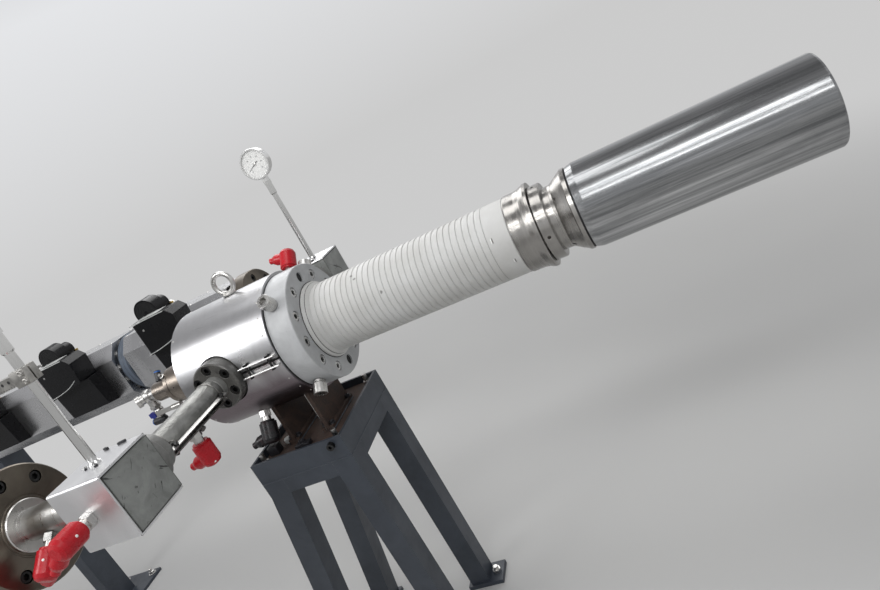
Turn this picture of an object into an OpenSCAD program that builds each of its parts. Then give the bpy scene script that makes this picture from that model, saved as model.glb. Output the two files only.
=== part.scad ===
// Twin-feed pipe extrusion head on its stand, with two heated barrels beside it.
// X runs along the head's axis towards the cooling mandrel's free end, Y across, Z up.
// The drawing's X zero is the front face of the head's flange, and the floor is Z zero.

/* [Line] */
// Height of the head's axis above the floor
axis_h = 1050; // [950:5:1150]
// Distance from the head's axis to each barrel's axis
barrel_y = 578; // [540:1:640]
// Distance from the flange's front face back to the feed ports
feed_back = 250; // [235:1:265]

/* [Head] */
// Outer radius of the heater jacket
jacket_r = 165; // [162:1:180]
// Thickness of the jacket with its insulation
jacket_wall = 18; // [12:1:22]
// Length of the jacket
jacket_len = 302; // [290:1:340]
// Outer radius of the front flange
flange_r = 157; // [152:1:160]
// Thickness of the front flange
flange_t = 69; // [60:1:80]
// Distance from the head body's side in to the circle of the flange screws
screw_edge = 19.2; // [14:0.1:24]
// Radius of a socket screw's head
screw_head_r = 12; // [9:0.5:13]
// Height of a socket screw's head
screw_head_h = 16; // [12:0.5:18]
// Radius of a centring bolt's head
centring_head_r = 18; // [14:1:20]
// Height of a centring bolt's head
centring_head_h = 26; // [18:1:30]
// Middle radius of the lifting ring on top of the head
eye_r = 28; // [22:1:34]
// Distance from the feed ports forward to the lifting ring
eye_ahead = 44; // [20:1:80]
// Radius of the hub behind the head
hub_r = 54; // [46:1:60]
// Length of the hub
hub_len = 159; // [140:1:175]
// Radius of the neck behind the hub
hub_neck_r = 28; // [22:1:34]
// Length of the neck
hub_neck_len = 70; // [60:1:90]

/* [Sleeve and lips] */
// Outer radius of the ribbed sleeve
sleeve_r = 92; // [88:0.5:94]
// Wall of the sleeve
sleeve_wall = 14; // [8:0.5:16]
// Distance from the flange's face to the last rib
sleeve_len = 498; // [440:1:560]
// How far the sleeve's stepped foot stands out from it
sleeve_step = 12; // [8:1:16]
// Distance from one rib to the next
rib_pitch = 16; // [12:1:24]
// Height of a rib
rib_h = 1.5; // [1:0.5:4]
// Length of the smooth collar in front of the ribs
collar_len = 55; // [45:1:80]
// Length of the outer lip
outer_lip_len = 60; // [50:1:75]
// Radius of the outer lip's flared edge
outer_lip_r = 102; // [98:0.5:106]

/* [Mandrel] */
// Radius of the cooling mandrel
mandrel_r = 100; // [96:0.5:104]
// Length of the cooling mandrel
mandrel_len = 500; // [420:1:620]
// Wall of the cooling mandrel
mandrel_wall = 9; // [6:0.5:14]
// Radius of the neck between the lips and the cone
neck_r = 75; // [70:1:76]
// Distance from the outer lip's edge to the foot of the cone
neck_len = 43; // [34:1:60]
// Length of the cone and its thin rim
cone_len = 47; // [40:1:60]
// Width of the seal ring
seal_w = 4; // [3:0.5:6]
// Radius of the rod hole in the mandrel's end plate
rod_hole_r = 12; // [8:0.5:20]

/* [Stand] */
// Length of the stand's top along the axis
stand_len = 288; // [280:1:330]
// Width of the stand across the axis
stand_w = 334; // [320:1:380]
// Distance from the flange's face back to the stand's front legs
stand_back = 40; // [30:1:46]
// Height of the stand's top edge below the axis
stand_drop = 246; // [240:1:256]
// Side of a leg's square tube
leg_w = 65; // [55:1:75]
// Height of the upper frame
top_frame_h = 63; // [55:1:75]
// Height of the lower rails
rail_h = 44; // [36:1:60]
// Thickness of the mounting plate
top_plate_t = 44; // [30:1:50]
// Distance between the two saddle plates
saddle_gap = 112; // [90:1:130]
// Thickness of a saddle plate
saddle_t = 12; // [8:1:20]
// Width of a saddle plate
saddle_w = 160; // [140:1:180]
// How far the back legs' feet stand out behind their tops
rake = 140; // [80:5:180]
// Thickness of the foot plates
foot_t = 14; // [10:1:20]

/* [Feed branches] */
// Radius of the round feed flange
feed_flange_r = 64; // [60:1:68]
// Distance from the head's axis to the feed flange's outer face
feed_flange_y = 190; // [184:1:204]
// Radius of the feed pipe
feed_pipe_r = 24; // [20:1:28]
// Thickness of the feed pipe's cover
pipe_cover_t = 8; // [5:0.5:12]
// Radius of the round shoulder on the adapter block
shoulder_r = 60; // [54:1:63]
// Side of the square adapter block with its cover
adapter_w = 138; // [130:1:144]
// Thickness of the adapter's sheet cover
sheet_t = 4; // [2:0.5:6]
// Radius of the neck between the adapter and the barrel
neck_pipe_r = 34; // [30:1:40]

/* [Gauges] */
// Height of the gauge's centre above the axis
gauge_h = 439; // [400:1:480]
// Radius of the gauge's case
gauge_r = 53; // [48:1:58]
// Depth of the gauge's case
gauge_t = 34; // [26:1:44]
// Radius of the gauge's stem
stem_r = 9; // [7:0.5:12]
// Height of the stem clamp above the axis
stem_clamp_h = 277; // [240:1:310]

/* [Barrels] */
// Radius of the barrel's front flange
barrel_flange_r = 129; // [122:1:136]
// Thickness of the barrel's front flange
barrel_flange_t = 55; // [45:1:65]
// Radius of the circle that the barrel flange's screws stand on
barrel_screw_r = 100; // [96:1:106]
// Distance from the head flange's face back to the barrel flange's front
barrel_back = 499; // [485:1:530]
// Radius of the barrel
barrel_r = 58; // [50:1:64]
// Width of a barrel cover, and its height
cover_w = 238; // [220:1:250]
// Length of the front cover, over one heating zone
front_cover_len = 515; // [460:1:560]
// Distance from one blower to the next
blower_pitch = 519; // [480:1:560]
// Radius of the ring flange between the covers
joint_flange_r = 118; // [110:1:128]
// Thickness of one ring flange
joint_flange_t = 20; // [14:1:30]
// Width of a blower's box
blower_w = 165; // [140:1:190]
// How far a blower's box stands out from the cover
blower_depth = 90; // [70:1:110]
// Radius of a blower's fan drum
fan_r = 50; // [42:1:58]
// Thickness of the fan drum
fan_t = 56; // [44:1:64]

/* [Heater plugs] */
// Radius of a plug's rubber boot
plug_r = 23; // [16:1:26]
// Length of the boot
boot_h = 62; // [50:1:66]
// How far the boot stands off the heated piece
gland_out = 28; // [22:1:30]

/* [Hidden] */
$fn = 64;
fit = 0.3;
sink = 2;
screw_fit = 1.5;
flange_screw_n = 12;
barrel_screw_n = 8;
tail_bolt_r = 9;
shank_share = 0.66;
cover_gap = 2;
pipe_cover_r = feed_pipe_r + pipe_cover_t;
jacket_gap = 2;
jacket_x0 = -flange_t - jacket_len;
jacket_x1 = -flange_t - jacket_gap;
body_r = jacket_r - jacket_wall - fit;
body_x0 = jacket_x0 + 6;
feed_x = -feed_back;
screw_pitch_r = body_r - screw_edge;
port_seat_y = sqrt(pow(body_r, 2) - pow(feed_flange_r, 2)) - 2;
centring_x = -flange_t * 0.6;
hub_x0 = body_x0 - hub_len;
hub_neck_x0 = hub_x0 - hub_neck_len;
tee_r = 19;
tee_run = 42;
tee_x = hub_neck_x0 - tee_run;
eye_x = -feed_back + eye_ahead;
valve_z = -52;
lever_y = -22;
closure_x0 = feed_x + feed_flange_r + 4;
closure_len = jacket_x1 - closure_x0;
strip_t = 4;
strip_out = 10;
clip_r = 3;
sleeve_foot_r = sleeve_r + sleeve_step;
collar_x1 = sleeve_len + collar_len;
lip_x1 = collar_x1 + outer_lip_len;
lip_ring_len = neck_len * 0.65;
cone_x0 = lip_x1 + neck_len;
seal_x0 = cone_x0 + cone_len;
mandrel_x0 = seal_x0 + seal_w;
mandrel_chamfer = 16;
mandrel_x1 = mandrel_x0 + mandrel_chamfer + mandrel_len;
core_r = neck_r - 14;
stand_x1 = -stand_back;
stand_x0 = stand_x1 - stand_len;
stand_y = stand_w / 2;
stand_top_z = axis_h - stand_drop;
frame_z0 = stand_top_z - top_frame_h;
frame_wall = 8;
rail_z0 = frame_z0 - rail_h;
plate_inset = 14;
plate_top_z = frame_z0 + top_plate_t;
saddle_x1 = -flange_t - 37;
stand_bolt_r = 7;
anchor_r = 8;
foot_out = 45;
adapter_h = adapter_w / 2;
adapter_in_y = barrel_y - adapter_h;
stub_len = 28;
barrel_x1 = -barrel_back;
neck_ring_r = 55;
neck_ring_t = 5;
groove_r = neck_ring_r + 9;
groove_w = 5;
cover_h = cover_w / 2;
cover_x1 = barrel_x1 - barrel_flange_t - 18;
joint_gap = 10;
front_cover_x0 = cover_x1 - front_cover_len;
joint_x1 = front_cover_x0 - joint_gap;
joint_x0 = joint_x1 - 2 * joint_flange_t - fit;
rear_cover_x1 = joint_x0 - joint_gap;
blower_n = 3;
blower_x1 = cover_x1 - front_cover_len * 0.45;
rear_cover_len = blower_pitch * (blower_n - 1) - front_cover_len * 0.23;
rear_cover_x0 = rear_cover_x1 - rear_cover_len;
post_w = 60;
tail_gap = post_w + 20;
end_flange_t = 40;
barrel_x0 = rear_cover_x0 - tail_gap - end_flange_t;
post_x = rear_cover_x0 - tail_gap / 2;
mid_x = (mandrel_x1 + barrel_x0) / 2;
barrel_foot_y = 160;
barrel_foot_x = 120;
anchor_edge = 30;
far_reach = max(cover_h, barrel_foot_y, adapter_h + gland_out + boot_h);
near_reach = max(cover_h + blower_depth, far_reach);
mid_y = (far_reach - near_reach) / 2;

// Puts a piece drawn on the head's axis at its height, with the model's middle at zero
module on_axis() translate([-mid_x, -mid_y, axis_h]) children();
module on_floor() translate([-mid_x, -mid_y, 0]) children();
// Repeats a piece drawn on the near side on the far side of the head
module both_sides() {
    children();
    mirror([0, 1, 0]) children();
}
// Repeats a piece drawn on a barrel's axis at both barrels, which are alike
module both_barrels() for (s = [-1, 1]) translate([0, s * barrel_y, 0]) children();
// A round bar along X, from x0 to x1
module bar_x(x0, x1, r) translate([x0, 0, 0]) rotate([0, 90, 0]) cylinder(h = x1 - x0, r = r);
// A round bar along Y, from y0 to y1
module bar_y(y0, y1, r) translate([0, y0, 0]) rotate([-90, 0, 0]) cylinder(h = y1 - y0, r = r);
// A ring along X
module ring_x(x0, x1, r, bore) {
    difference() {
        bar_x(x0, x1, r);
        bar_x(x0 - 1, x1 + 1, bore);
    }
}
// A body turned about the X axis, from points of station and radius
module turned_x(points) rotate([0, 90, 0]) rotate_extrude($fn = 96)
    polygon([for (p = points) [p[1], p[0]]]);
// A body turned about the Z axis, from points of radius and height
module turned_z(points) rotate_extrude() polygon(points);
// A block between two corners
module block(low, high) translate(low) cube(high - low);
// Copies around the X axis, starting at the top
module around_x(n, first = 0) for (i = [0:n - 1]) rotate([first + 360 / n * i, 0, 0]) children();
// A socket head screw along X, with its head's foot at X = 0 and its shank going to -X
module socket_screw(r, h, shank) {
    difference() {
        union() {
            bar_x(0, h - 1, r);
            turned_x([[h - 1, 0], [h - 1, r], [h, r - 1], [h, 0]]);
            bar_x(-shank, 0, r * shank_share);
        }
        translate([h * 0.45, 0, 0]) rotate([0, 90, 0]) cylinder(h = h, r = r * 0.6, $fn = 6);
    }
}
// The sunk hole that a socket head screw stands in, with its face at X = 0
module screw_hole(r, h, depth) {
    bar_x(-h - sink, 1, r + screw_fit);
    bar_x(-depth, 0, r * shank_share + fit);
}
// A hexagonal nut or head along Z
module hex(r, h) cylinder(h = h, r = r, $fn = 6);
// A square with rounded corners, centred on zero
module rounded(w, r) {
    square([w, w - 2 * r], center = true);
    square([w - 2 * r, w], center = true);
    for (x = [-1, 1], y = [-1, 1]) translate([x, y] * (w / 2 - r)) circle(r = r);
}

tapped = flange_t + 30;
module head_body() {
    color("dimgray") on_axis() difference() {
        turned_x([[body_x0, 0], [body_x0, body_r - 6], [body_x0 + 6, body_r], [-flange_t, body_r],
            [-flange_t, 0]]);
        for (s = [0, 1]) translate([feed_x, 0, 0]) mirror([0, s, 0])
            bar_y(-body_r - 1, -port_seat_y, feed_flange_r + 1);
        around_x(flange_screw_n) translate([0, 0, screw_pitch_r])
            bar_x(-tapped - 4, 0, screw_head_r * shank_share + fit);
    }
}

saddle_slot_y = saddle_w / 2 + 2;
module heater_jacket() {
    color("silver") on_axis() difference() {
        turned_x([[jacket_x0, body_r + fit], [jacket_x0, jacket_r - 3], [jacket_x0 + 3, jacket_r],
            [jacket_x1, jacket_r], [jacket_x1, body_r + fit]]);
        for (s = [0, 1]) translate([feed_x, 0, 0]) mirror([0, s, 0])
            bar_y(-jacket_r - 1, -port_seat_y, feed_flange_r + 3);
        for (x = [saddle_x1 - saddle_t, saddle_x1 - saddle_t - saddle_gap])
            block([x - saddle_t / 2 - 2, -saddle_slot_y, -jacket_r - 1],
                [x + saddle_t / 2 + 2, saddle_slot_y, -body_r / 2]);
        block([feed_x, -jacket_r - 1, -3], [0, -jacket_r / 2, 3]);
        translate([eye_x, 0, 0]) cylinder(h = jacket_r + 1, r = eye_shank_r + 2);
    }
}

// The jacket's two folded edges, which stand out side by side along its split
closure_half = 13;
module jacket_closure() {
    color("gainsboro") on_axis() for (z = [-closure_half, closure_half]) difference() {
        y = sqrt(pow(jacket_r, 2) - pow(abs(z) - strip_t / 2, 2));
        block([closure_x0, -y - strip_out, z - strip_t / 2], [jacket_x1, -y, z + strip_t / 2]);
        for (x = clip_stations) translate([x, -clip_y, z - strip_t])
            cylinder(h = 2 * strip_t, r = clip_r + fit);
    }
}

clip_stations = [closure_x0 + closure_len * 0.2, closure_x0 + closure_len * 0.8];
clip_y = jacket_r + strip_out / 2 + 1;
pipe_y0 = -adapter_in_y + 2 * stub_len;
pipe_y1 = -feed_flange_y - stub_len + 4;
pipe_clip_y = [pipe_y0 + 22, pipe_y1 - 22];
edge_z = 7;
edge_x = sqrt(pow(pipe_cover_r, 2) - pow(edge_z - strip_t / 2, 2));
// The small screws that pull the folded edges together
module closure_clips() {
    color("black") on_axis() {
        for (x = clip_stations) translate([x, -clip_y, 0])
            clip_screw(closure_half + strip_t / 2 + fit);
        both_sides() translate([feed_x, 0, 0]) rotate([0, 30, 0])
            for (y = pipe_clip_y) translate([edge_x + strip_out / 2, y, 0])
                clip_screw(edge_z + strip_t / 2 + fit);
    }
}
// A screw along Z with a head above and a nut below, each reaching from half on
module clip_screw(half) {
    cylinder(h = 2 * half, r = clip_r, center = true);
    translate([0, 0, half]) cylinder(h = 5, r = clip_r * 1.8);
    translate([0, 0, -half - 5]) hex(clip_r * 1.8, 5);
}

module head_flange() {
    color("lightgray") on_axis() difference() {
        turned_x([[-flange_t, 0], [-flange_t, flange_r], [-2, flange_r], [0, flange_r - 2], [0, 0]]);
        around_x(flange_screw_n) translate([0, 0, screw_pitch_r])
            screw_hole(screw_head_r, screw_head_h, flange_t + 1);
        around_x(4, 45) translate([centring_x, 0, flange_r - 30]) cylinder(h = 31, r = centring_r + fit);
    }
}

// The top and bottom holes stay empty, for the jacking screws
module flange_screws() {
    color("dimgray") on_axis() for (i = [0:flange_screw_n - 1])
        if (i % 6 != 0) rotate([30 * i, 0, 0]) translate([-screw_head_h - sink, 0, screw_pitch_r])
            socket_screw(screw_head_r, screw_head_h, tapped - screw_head_h - sink);
}

centring_r = 12;
module centring_bolts() {
    color("silver") on_axis() around_x(4, 45) translate([centring_x, 0, flange_r]) {
        translate([0, 0, -30]) cylinder(h = 40, r = centring_r);
        translate([0, 0, 2]) cylinder(h = 5, r = centring_head_r - 2);
        translate([0, 0, 10]) rotate([0, -90, 0]) socket_screw(centring_head_r, centring_head_h, 0.5);
    }
}

eye_shank_r = 10;
eye_bar_r = 6.5;
module lifting_eye() {
    color("lightgray") on_axis() translate([eye_x, 0, 0]) {
        translate([0, 0, body_r + fit]) cylinder(h = jacket_wall + 1, r = eye_shank_r);
        translate([0, 0, jacket_r + 1]) turned_z([[0, 0], [18, 0], [18, 4], [12, 8], [0, 8]]);
        translate([0, 0, jacket_r + 5 + eye_r]) rotate([90, 0, 0])
            rotate_extrude($fn = 48) translate([eye_r, 0]) circle(r = eye_bar_r, $fn = 32);
    }
}

hub_screw_n = 6;
hub_screw_pitch = (hub_r + hub_neck_r) / 2 - 1;
module rear_hub() {
    color("tan") on_axis() difference() {
        turned_x([[body_x0 - fit, 0], [body_x0 - fit, hub_r], [hub_x0 + 16, hub_r],
            [hub_x0 + 16, hub_r - 6], [hub_x0 + 12, hub_r - 6], [hub_x0 + 12, hub_r - 2],
            [hub_x0, hub_r - 2], [hub_x0, hub_neck_r], [hub_neck_x0, hub_neck_r], [hub_neck_x0, 0]]);
        around_x(hub_screw_n) translate([hub_x0, 0, hub_screw_pitch]) mirror([1, 0, 0])
            bar_x(-14, 1, 6 * shank_share + fit);
    }
}

module hub_screws() {
    color("dimgray") on_axis() around_x(hub_screw_n) translate([hub_x0, 0, hub_screw_pitch])
        mirror([1, 0, 0]) socket_screw(6, 6, 12);
}

// Tee on the neck's end, with an open nozzle turned to the near side and the valve below
tee_turn = 40;
nozzle_len = 36;
module water_tee() {
    color("silver") on_axis() translate([tee_x, 0, 0]) {
        turned_x([[0, 0], [0, tee_r], [14, tee_r], [14, tee_r - 3], [tee_run - 8, tee_r - 3],
            [tee_run - 8, tee_r + 2], [tee_run, tee_r + 2], [tee_run, 0]]);
        sphere(r = tee_r + 2);
        rotate([0, 0, tee_turn]) mirror([1, 0, 0]) difference() {
            turned_x([[0, 0], [0, tee_r - 4], [nozzle_len - 12, tee_r - 4],
                [nozzle_len - 12, tee_r - 1], [nozzle_len, tee_r - 1], [nozzle_len, 0]]);
            bar_x(nozzle_len - 10, nozzle_len + 1, tee_r - 7);
        }
        translate([0, 0, valve_z1]) cylinder(h = -valve_z1, r = tee_r - 5);
    }
}

valve_r = 18;
valve_z1 = valve_z + 20;
valve_z0 = valve_z - 16;
module valve_body() {
    color("silver") on_axis() translate([tee_x, 0, 0]) {
        translate([0, 0, valve_z1 - 8]) hex(valve_r - 1, 8);
        translate([0, 0, valve_z]) sphere(r = valve_r - 3);
        translate([0, 0, valve_z0]) hex(valve_r - 1, 8);
        translate([0, 0, valve_z0 + 8]) cylinder(h = valve_z1 - valve_z0 - 16, r = valve_r - 5);
        translate([0, 0, valve_z]) bar_y(lever_y, 0, 6);
    }
}

lever_len = 110;
module valve_lever() {
    color("midnightblue") on_axis() translate([tee_x, 0, valve_z]) {
        bar_y(lever_y - 8, lever_y - fit, 10);
        block([-14, lever_y - 6, -7], [lever_len, lever_y - 3, 7]);
        translate([lever_len - 34, lever_y - 4.5, 0]) rotate([0, 90, 0]) cylinder(h = 34, r = 8);
    }
}

// Push-in fittings for the water and air hoses
air_turn = 28;
module hose_fittings() {
    color("black") on_axis() {
        translate([tee_x, 0, valve_z0 - fit]) {
            translate([0, 0, -13]) cylinder(h = 13, r = 9);
            translate([0, 0, -13]) {
                sphere(r = 12);
                bar_x(-34, 0, 11);
                bar_x(-40, -34, 8);
            }
        }
        translate([hub_neck_x0 + 11, 0, 0]) rotate([-air_turn, 0, 0]) translate([0, 0, hub_neck_r]) {
            translate([0, 0, fit]) hex(10, 6 - fit);
            translate([0, 0, 6]) cylinder(h = 20, r = 9);
            translate([0, 0, 26]) cylinder(h = 6, r = 7);
        }
    }
}

module ribbed_sleeve() {
    rib_n = floor((sleeve_len - 40) / rib_pitch);
    rib_x0 = sleeve_len - rib_n * rib_pitch;
    groove_w = rib_pitch * 0.22;
    edge = groove_w / 3;
    low_r = sleeve_r - rib_h;
    profile = [[0, sleeve_r - sleeve_wall], [0, sleeve_foot_r], [6, sleeve_foot_r], [10, sleeve_foot_r - 5],
        [14, sleeve_foot_r - 5], [19, low_r], [rib_x0, low_r]];
    ribs = [for (i = [0:rib_n - 1], p = [[groove_w - edge, low_r], [groove_w, sleeve_r - edge / 2],
        [groove_w + edge, sleeve_r], [rib_pitch - edge, sleeve_r], [rib_pitch, low_r]])
        [rib_x0 + i * rib_pitch + p[0], p[1]]];
    color("white") on_axis() turned_x(concat(profile, ribs, [[sleeve_len, sleeve_r - sleeve_wall]]));
}

module smooth_collar() {
    color("white") on_axis() turned_x([[sleeve_len, sleeve_r - sleeve_wall], [sleeve_len, sleeve_r - 1],
        [sleeve_len + 1, sleeve_r], [collar_x1 - 2, sleeve_r], [collar_x1, sleeve_r - 2],
        [collar_x1, sleeve_r - sleeve_wall]]);
}

wrench_r = 4;
module outer_lip() {
    land = collar_x1 + outer_lip_len * 0.45;
    color("silver") on_axis() turned_x([[collar_x1, sleeve_r - sleeve_wall], [collar_x1, sleeve_r + 1],
        [collar_x1 + 2, sleeve_r + 2], [land, sleeve_r + 2], [land + 12, sleeve_r + 4],
        [lip_x1 - 12, outer_lip_r - 2], [lip_x1 - 7, outer_lip_r], [lip_x1, outer_lip_r],
        [lip_x1, sleeve_r - sleeve_wall]]);
}

module inner_lip() {
    ring_x1 = lip_x1 + lip_ring_len;
    color("silver") on_axis() difference() {
        turned_x([[0, core_r], [0, neck_r - 4], [lip_x1 - 20, neck_r - 4], [lip_x1 - 20, neck_r + 1],
            [lip_x1 + 2, neck_r + 1], [lip_x1 + 2, sleeve_r - 2], [ring_x1 - 2, sleeve_r - 2],
            [ring_x1, sleeve_r - 4], [ring_x1, neck_r], [cone_x0, neck_r], [cone_x0, core_r]]);
        around_x(4, 7) translate([lip_x1 + lip_ring_len / 2, 0, neck_r])
            cylinder(h = sleeve_r, r = wrench_r);
    }
}

module mandrel_cone() {
    color("silver") on_axis() difference() {
        turned_x([[cone_x0, core_r], [cone_x0, neck_r], [cone_x0 + 6, neck_r + 1],
            [seal_x0 - 11, mandrel_r - 5], [seal_x0 - 9, mandrel_r - 3], [seal_x0, mandrel_r - 3],
            [seal_x0, core_r]]);
        around_x(4, 47) translate([cone_x0 + wrench_r + 6, 0, neck_r - 6])
            cylinder(h = mandrel_r, r = wrench_r);
    }
}

module seal_ring() {
    color("black") on_axis() ring_x(seal_x0, mandrel_x0, mandrel_r - 6, core_r);
}

cap_back = 26;
cap_t = 14;
module cooling_mandrel() {
    bore = mandrel_r - mandrel_wall;
    color("silver") on_axis() turned_x([[mandrel_x0, core_r], [mandrel_x0, mandrel_r - 4],
        [mandrel_x0 + mandrel_chamfer, mandrel_r], [mandrel_x1 - 6, mandrel_r],
        [mandrel_x1 - 2, mandrel_r - 2], [mandrel_x1, mandrel_r - 6], [mandrel_x1, bore],
        [mandrel_x0 + 20, bore], [mandrel_x0 + 20, core_r]]);
}

module mandrel_cap() {
    color("silver") on_axis() difference() {
        ring_x(mandrel_x1 - cap_back, mandrel_x1 - cap_back + cap_t, mandrel_r - mandrel_wall - fit,
            rod_hole_r);
        around_x(4, 45) translate([0, 0, (mandrel_r + rod_hole_r) / 2])
            bar_x(mandrel_x1 - cap_back - 1, mandrel_x1, wrench_r);
    }
}

module stand_top_frame() {
    color("darkslategray") on_floor() difference() {
        block([stand_x0, -stand_y, frame_z0], [stand_x1, stand_y, stand_top_z]);
        block([stand_x0 + frame_wall, -stand_y + frame_wall, frame_z0 - 1],
            [stand_x1 - frame_wall, stand_y - frame_wall, stand_top_z + 1]);
        adjusting_places() cylinder(h = 4 * frame_wall, r = stand_bolt_r + fit, center = true);
    }
}

adjust_z = stand_top_z - 18;
// Places of the bolts that shift the mounting plate sideways, with Z pointing out of the frame
module adjusting_places() {
    for (s = [0, 1]) mirror([0, s, 0]) {
        translate([stand_x1 - 36, -stand_y, adjust_z]) rotate([90, 0, 0]) children();
        translate([stand_x0, -stand_y + 40, adjust_z]) rotate([0, -90, 0]) children();
    }
}

module adjusting_bolts() {
    color("dimgray") on_floor() adjusting_places() difference() {
        union() {
            translate([0, 0, -plate_inset + fit]) cylinder(h = plate_inset, r = stand_bolt_r);
            cylinder(h = 12, r = stand_bolt_r + 3);
        }
        translate([0, 0, 6]) hex(stand_bolt_r - 2, 8);
    }
}

module mounting_plate() {
    color("saddlebrown") on_floor() block([stand_x0 + plate_inset, -stand_y + plate_inset, frame_z0],
        [stand_x1 - plate_inset, stand_y - plate_inset, plate_top_z]);
}

module saddle_plates() {
    color("saddlebrown") on_floor() for (x = [saddle_x1 - saddle_t, saddle_x1 - saddle_t - saddle_gap])
        difference() {
            union() {
                block([x - saddle_t / 2, -saddle_w / 2, plate_top_z],
                    [x + saddle_t / 2, saddle_w / 2, axis_h - body_r * 0.8]);
                block([x - saddle_t * 1.5, -saddle_w / 2, plate_top_z],
                    [x + saddle_t * 1.5, saddle_w / 2, plate_top_z + saddle_t]);
            }
            translate([0, 0, axis_h]) bar_x(x - saddle_t, x + saddle_t, body_r + fit);
        }
}

// Hexagon bolts that stand on the frame's corners and hold the feet down
module stand_bolts() {
    color("silver") on_floor() for (s = [0, 1]) mirror([0, s, 0]) {
        for (x = [stand_x0 + plate_inset + 14, stand_x1 - plate_inset - 14])
            translate([x, -stand_y + plate_inset + 14, plate_top_z]) {
                cylinder(h = 30, r = stand_bolt_r);
                hex(stand_bolt_r * 1.8, 9);
            }
        for (x = [stand_x1 + foot_out - 22, stand_x0 - rake - foot_out + 22])
            translate([x, -stand_y + leg_w / 2, foot_t]) {
                hex(anchor_r * 1.8, 10);
                cylinder(h = 20, r = anchor_r);
            }
    }
}

module stand_rails() {
    color("darkslategray") on_floor() {
        for (s = [0, 1]) mirror([0, s, 0])
            block([stand_x0 + leg_w, -stand_y, rail_z0], [stand_x1 - leg_w, -stand_y + leg_w, frame_z0]);
        for (x = [stand_x0, stand_x1 - leg_w])
            block([x, -stand_y + leg_w, rail_z0], [x + leg_w, stand_y - leg_w, frame_z0]);
    }
}

module front_legs() {
    color("darkslategray") on_floor() for (s = [0, 1]) mirror([0, s, 0])
        block([stand_x1 - leg_w, -stand_y, foot_t], [stand_x1, -stand_y + leg_w, frame_z0]);
}

module back_legs() {
    color("darkslategray") on_floor() for (s = [0, 1]) mirror([0, s, 0])
        translate([stand_x0, -stand_y + leg_w, 0]) rotate([90, 0, 0]) linear_extrude(height = leg_w)
            polygon([[0, frame_z0], [leg_w, frame_z0], [leg_w, rail_z0], [leg_w - rake, foot_t],
                [-rake, foot_t], [0, rail_z0]]);
}

module stand_feet() {
    color("darkslategray") on_floor() for (s = [0, 1]) mirror([0, s, 0]) {
        block([stand_x1 - leg_w - 10, -stand_y - 10, 0],
            [stand_x1 + foot_out, -stand_y + leg_w + 10, foot_t]);
        block([stand_x0 - rake - foot_out, -stand_y - 10, 0],
            [stand_x0 - rake + leg_w + 10, -stand_y + leg_w + 10, foot_t]);
    }
}

feed_screw_n = 6;
feed_screw_r = feed_flange_r - screw_head_r - 4;
module feed_flanges() {
    color("gray") on_axis() both_sides() translate([feed_x, 0, 0]) rotate([0, 0, -90]) difference() {
        turned_x([[port_seat_y + fit, 0], [port_seat_y + fit, feed_flange_r],
            [feed_flange_y - 3, feed_flange_r], [feed_flange_y, feed_flange_r - 3], [feed_flange_y, 0]]);
        around_x(feed_screw_n) translate([feed_flange_y, 0, feed_screw_r])
            screw_hole(screw_head_r, screw_head_h, feed_flange_y - port_seat_y - 4);
    }
}

module feed_flange_screws() {
    color("black") on_axis() both_sides() translate([feed_x, 0, 0]) rotate([0, 0, -90])
        around_x(feed_screw_n) translate([feed_flange_y - screw_head_h - sink, 0, feed_screw_r])
            socket_screw(screw_head_r, screw_head_h, feed_flange_y - port_seat_y - screw_head_h - 8);
}

module feed_pipes() {
    color("gray") on_axis() both_sides() translate([feed_x, 0, 0]) rotate([0, 0, -90])
        turned_x([[feed_flange_y, 0], [feed_flange_y, pipe_cover_r - 2],
            [feed_flange_y + stub_len - 10, pipe_cover_r - 2],
            [feed_flange_y + stub_len - 4, feed_pipe_r], [adapter_in_y - 2 * stub_len, feed_pipe_r],
            [adapter_in_y - 2 * stub_len, shoulder_r - 14], [adapter_in_y - stub_len, shoulder_r - 14],
            [adapter_in_y - stub_len, shoulder_r - 3], [adapter_in_y - stub_len + 3, shoulder_r],
            [adapter_in_y, shoulder_r], [adapter_in_y, 0]]);
}

module pipe_covers() {
    color("silver") on_axis() both_sides() translate([feed_x, 0, 0]) difference() {
        bar_y(pipe_y0, pipe_y1, pipe_cover_r);
        bar_y(pipe_y0 - 1, pipe_y1 + 1, feed_pipe_r + fit);
        rotate([0, 30, 0]) block([0, pipe_y0 - 1, -3], [2 * pipe_cover_r, pipe_y1 + 1, 3]);
    }
}

// The pipe cover's two folded edges beside its split
module cover_edges() {
    color("silver") on_axis() both_sides() translate([feed_x, 0, 0]) rotate([0, 30, 0])
        for (z = [-edge_z, edge_z]) difference() {
            block([edge_x, pipe_y0 + 4, z - strip_t / 2],
                [edge_x + strip_out, pipe_y1 - 4, z + strip_t / 2]);
            for (y = pipe_clip_y) translate([edge_x + strip_out / 2, y, z])
                cylinder(h = 2 * strip_t, r = clip_r + fit, center = true);
        }
}

module adapter_blocks() {
    inner = adapter_h - sheet_t - cover_gap;
    color("gray") on_axis() both_sides() translate([feed_x, -barrel_y, 0]) difference() {
        block([-adapter_h, -inner, -inner], [adapter_h, adapter_h, inner]);
        translate([stem_clip_x, 0, inner - 9]) cylinder(h = 20, r = clip_r + fit);
    }
}

stem_clip_x = -30;
// Folded sheet around three sides of the block, open towards the head
module adapter_covers() {
    color("silver") on_axis() both_sides() translate([feed_x, -barrel_y, 0]) difference() {
        rotate([0, 90, 0]) linear_extrude(height = adapter_w - 2, center = true) rounded(adapter_w, 5);
        block([-adapter_w, -adapter_h + sheet_t, -adapter_h + sheet_t],
            [adapter_w, adapter_w, adapter_h - sheet_t]);
        cylinder(h = adapter_w, r = stem_r + 1);
        translate([stem_clip_x, 0, 0]) cylinder(h = adapter_w, r = clip_r + fit);
    }
}

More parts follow.
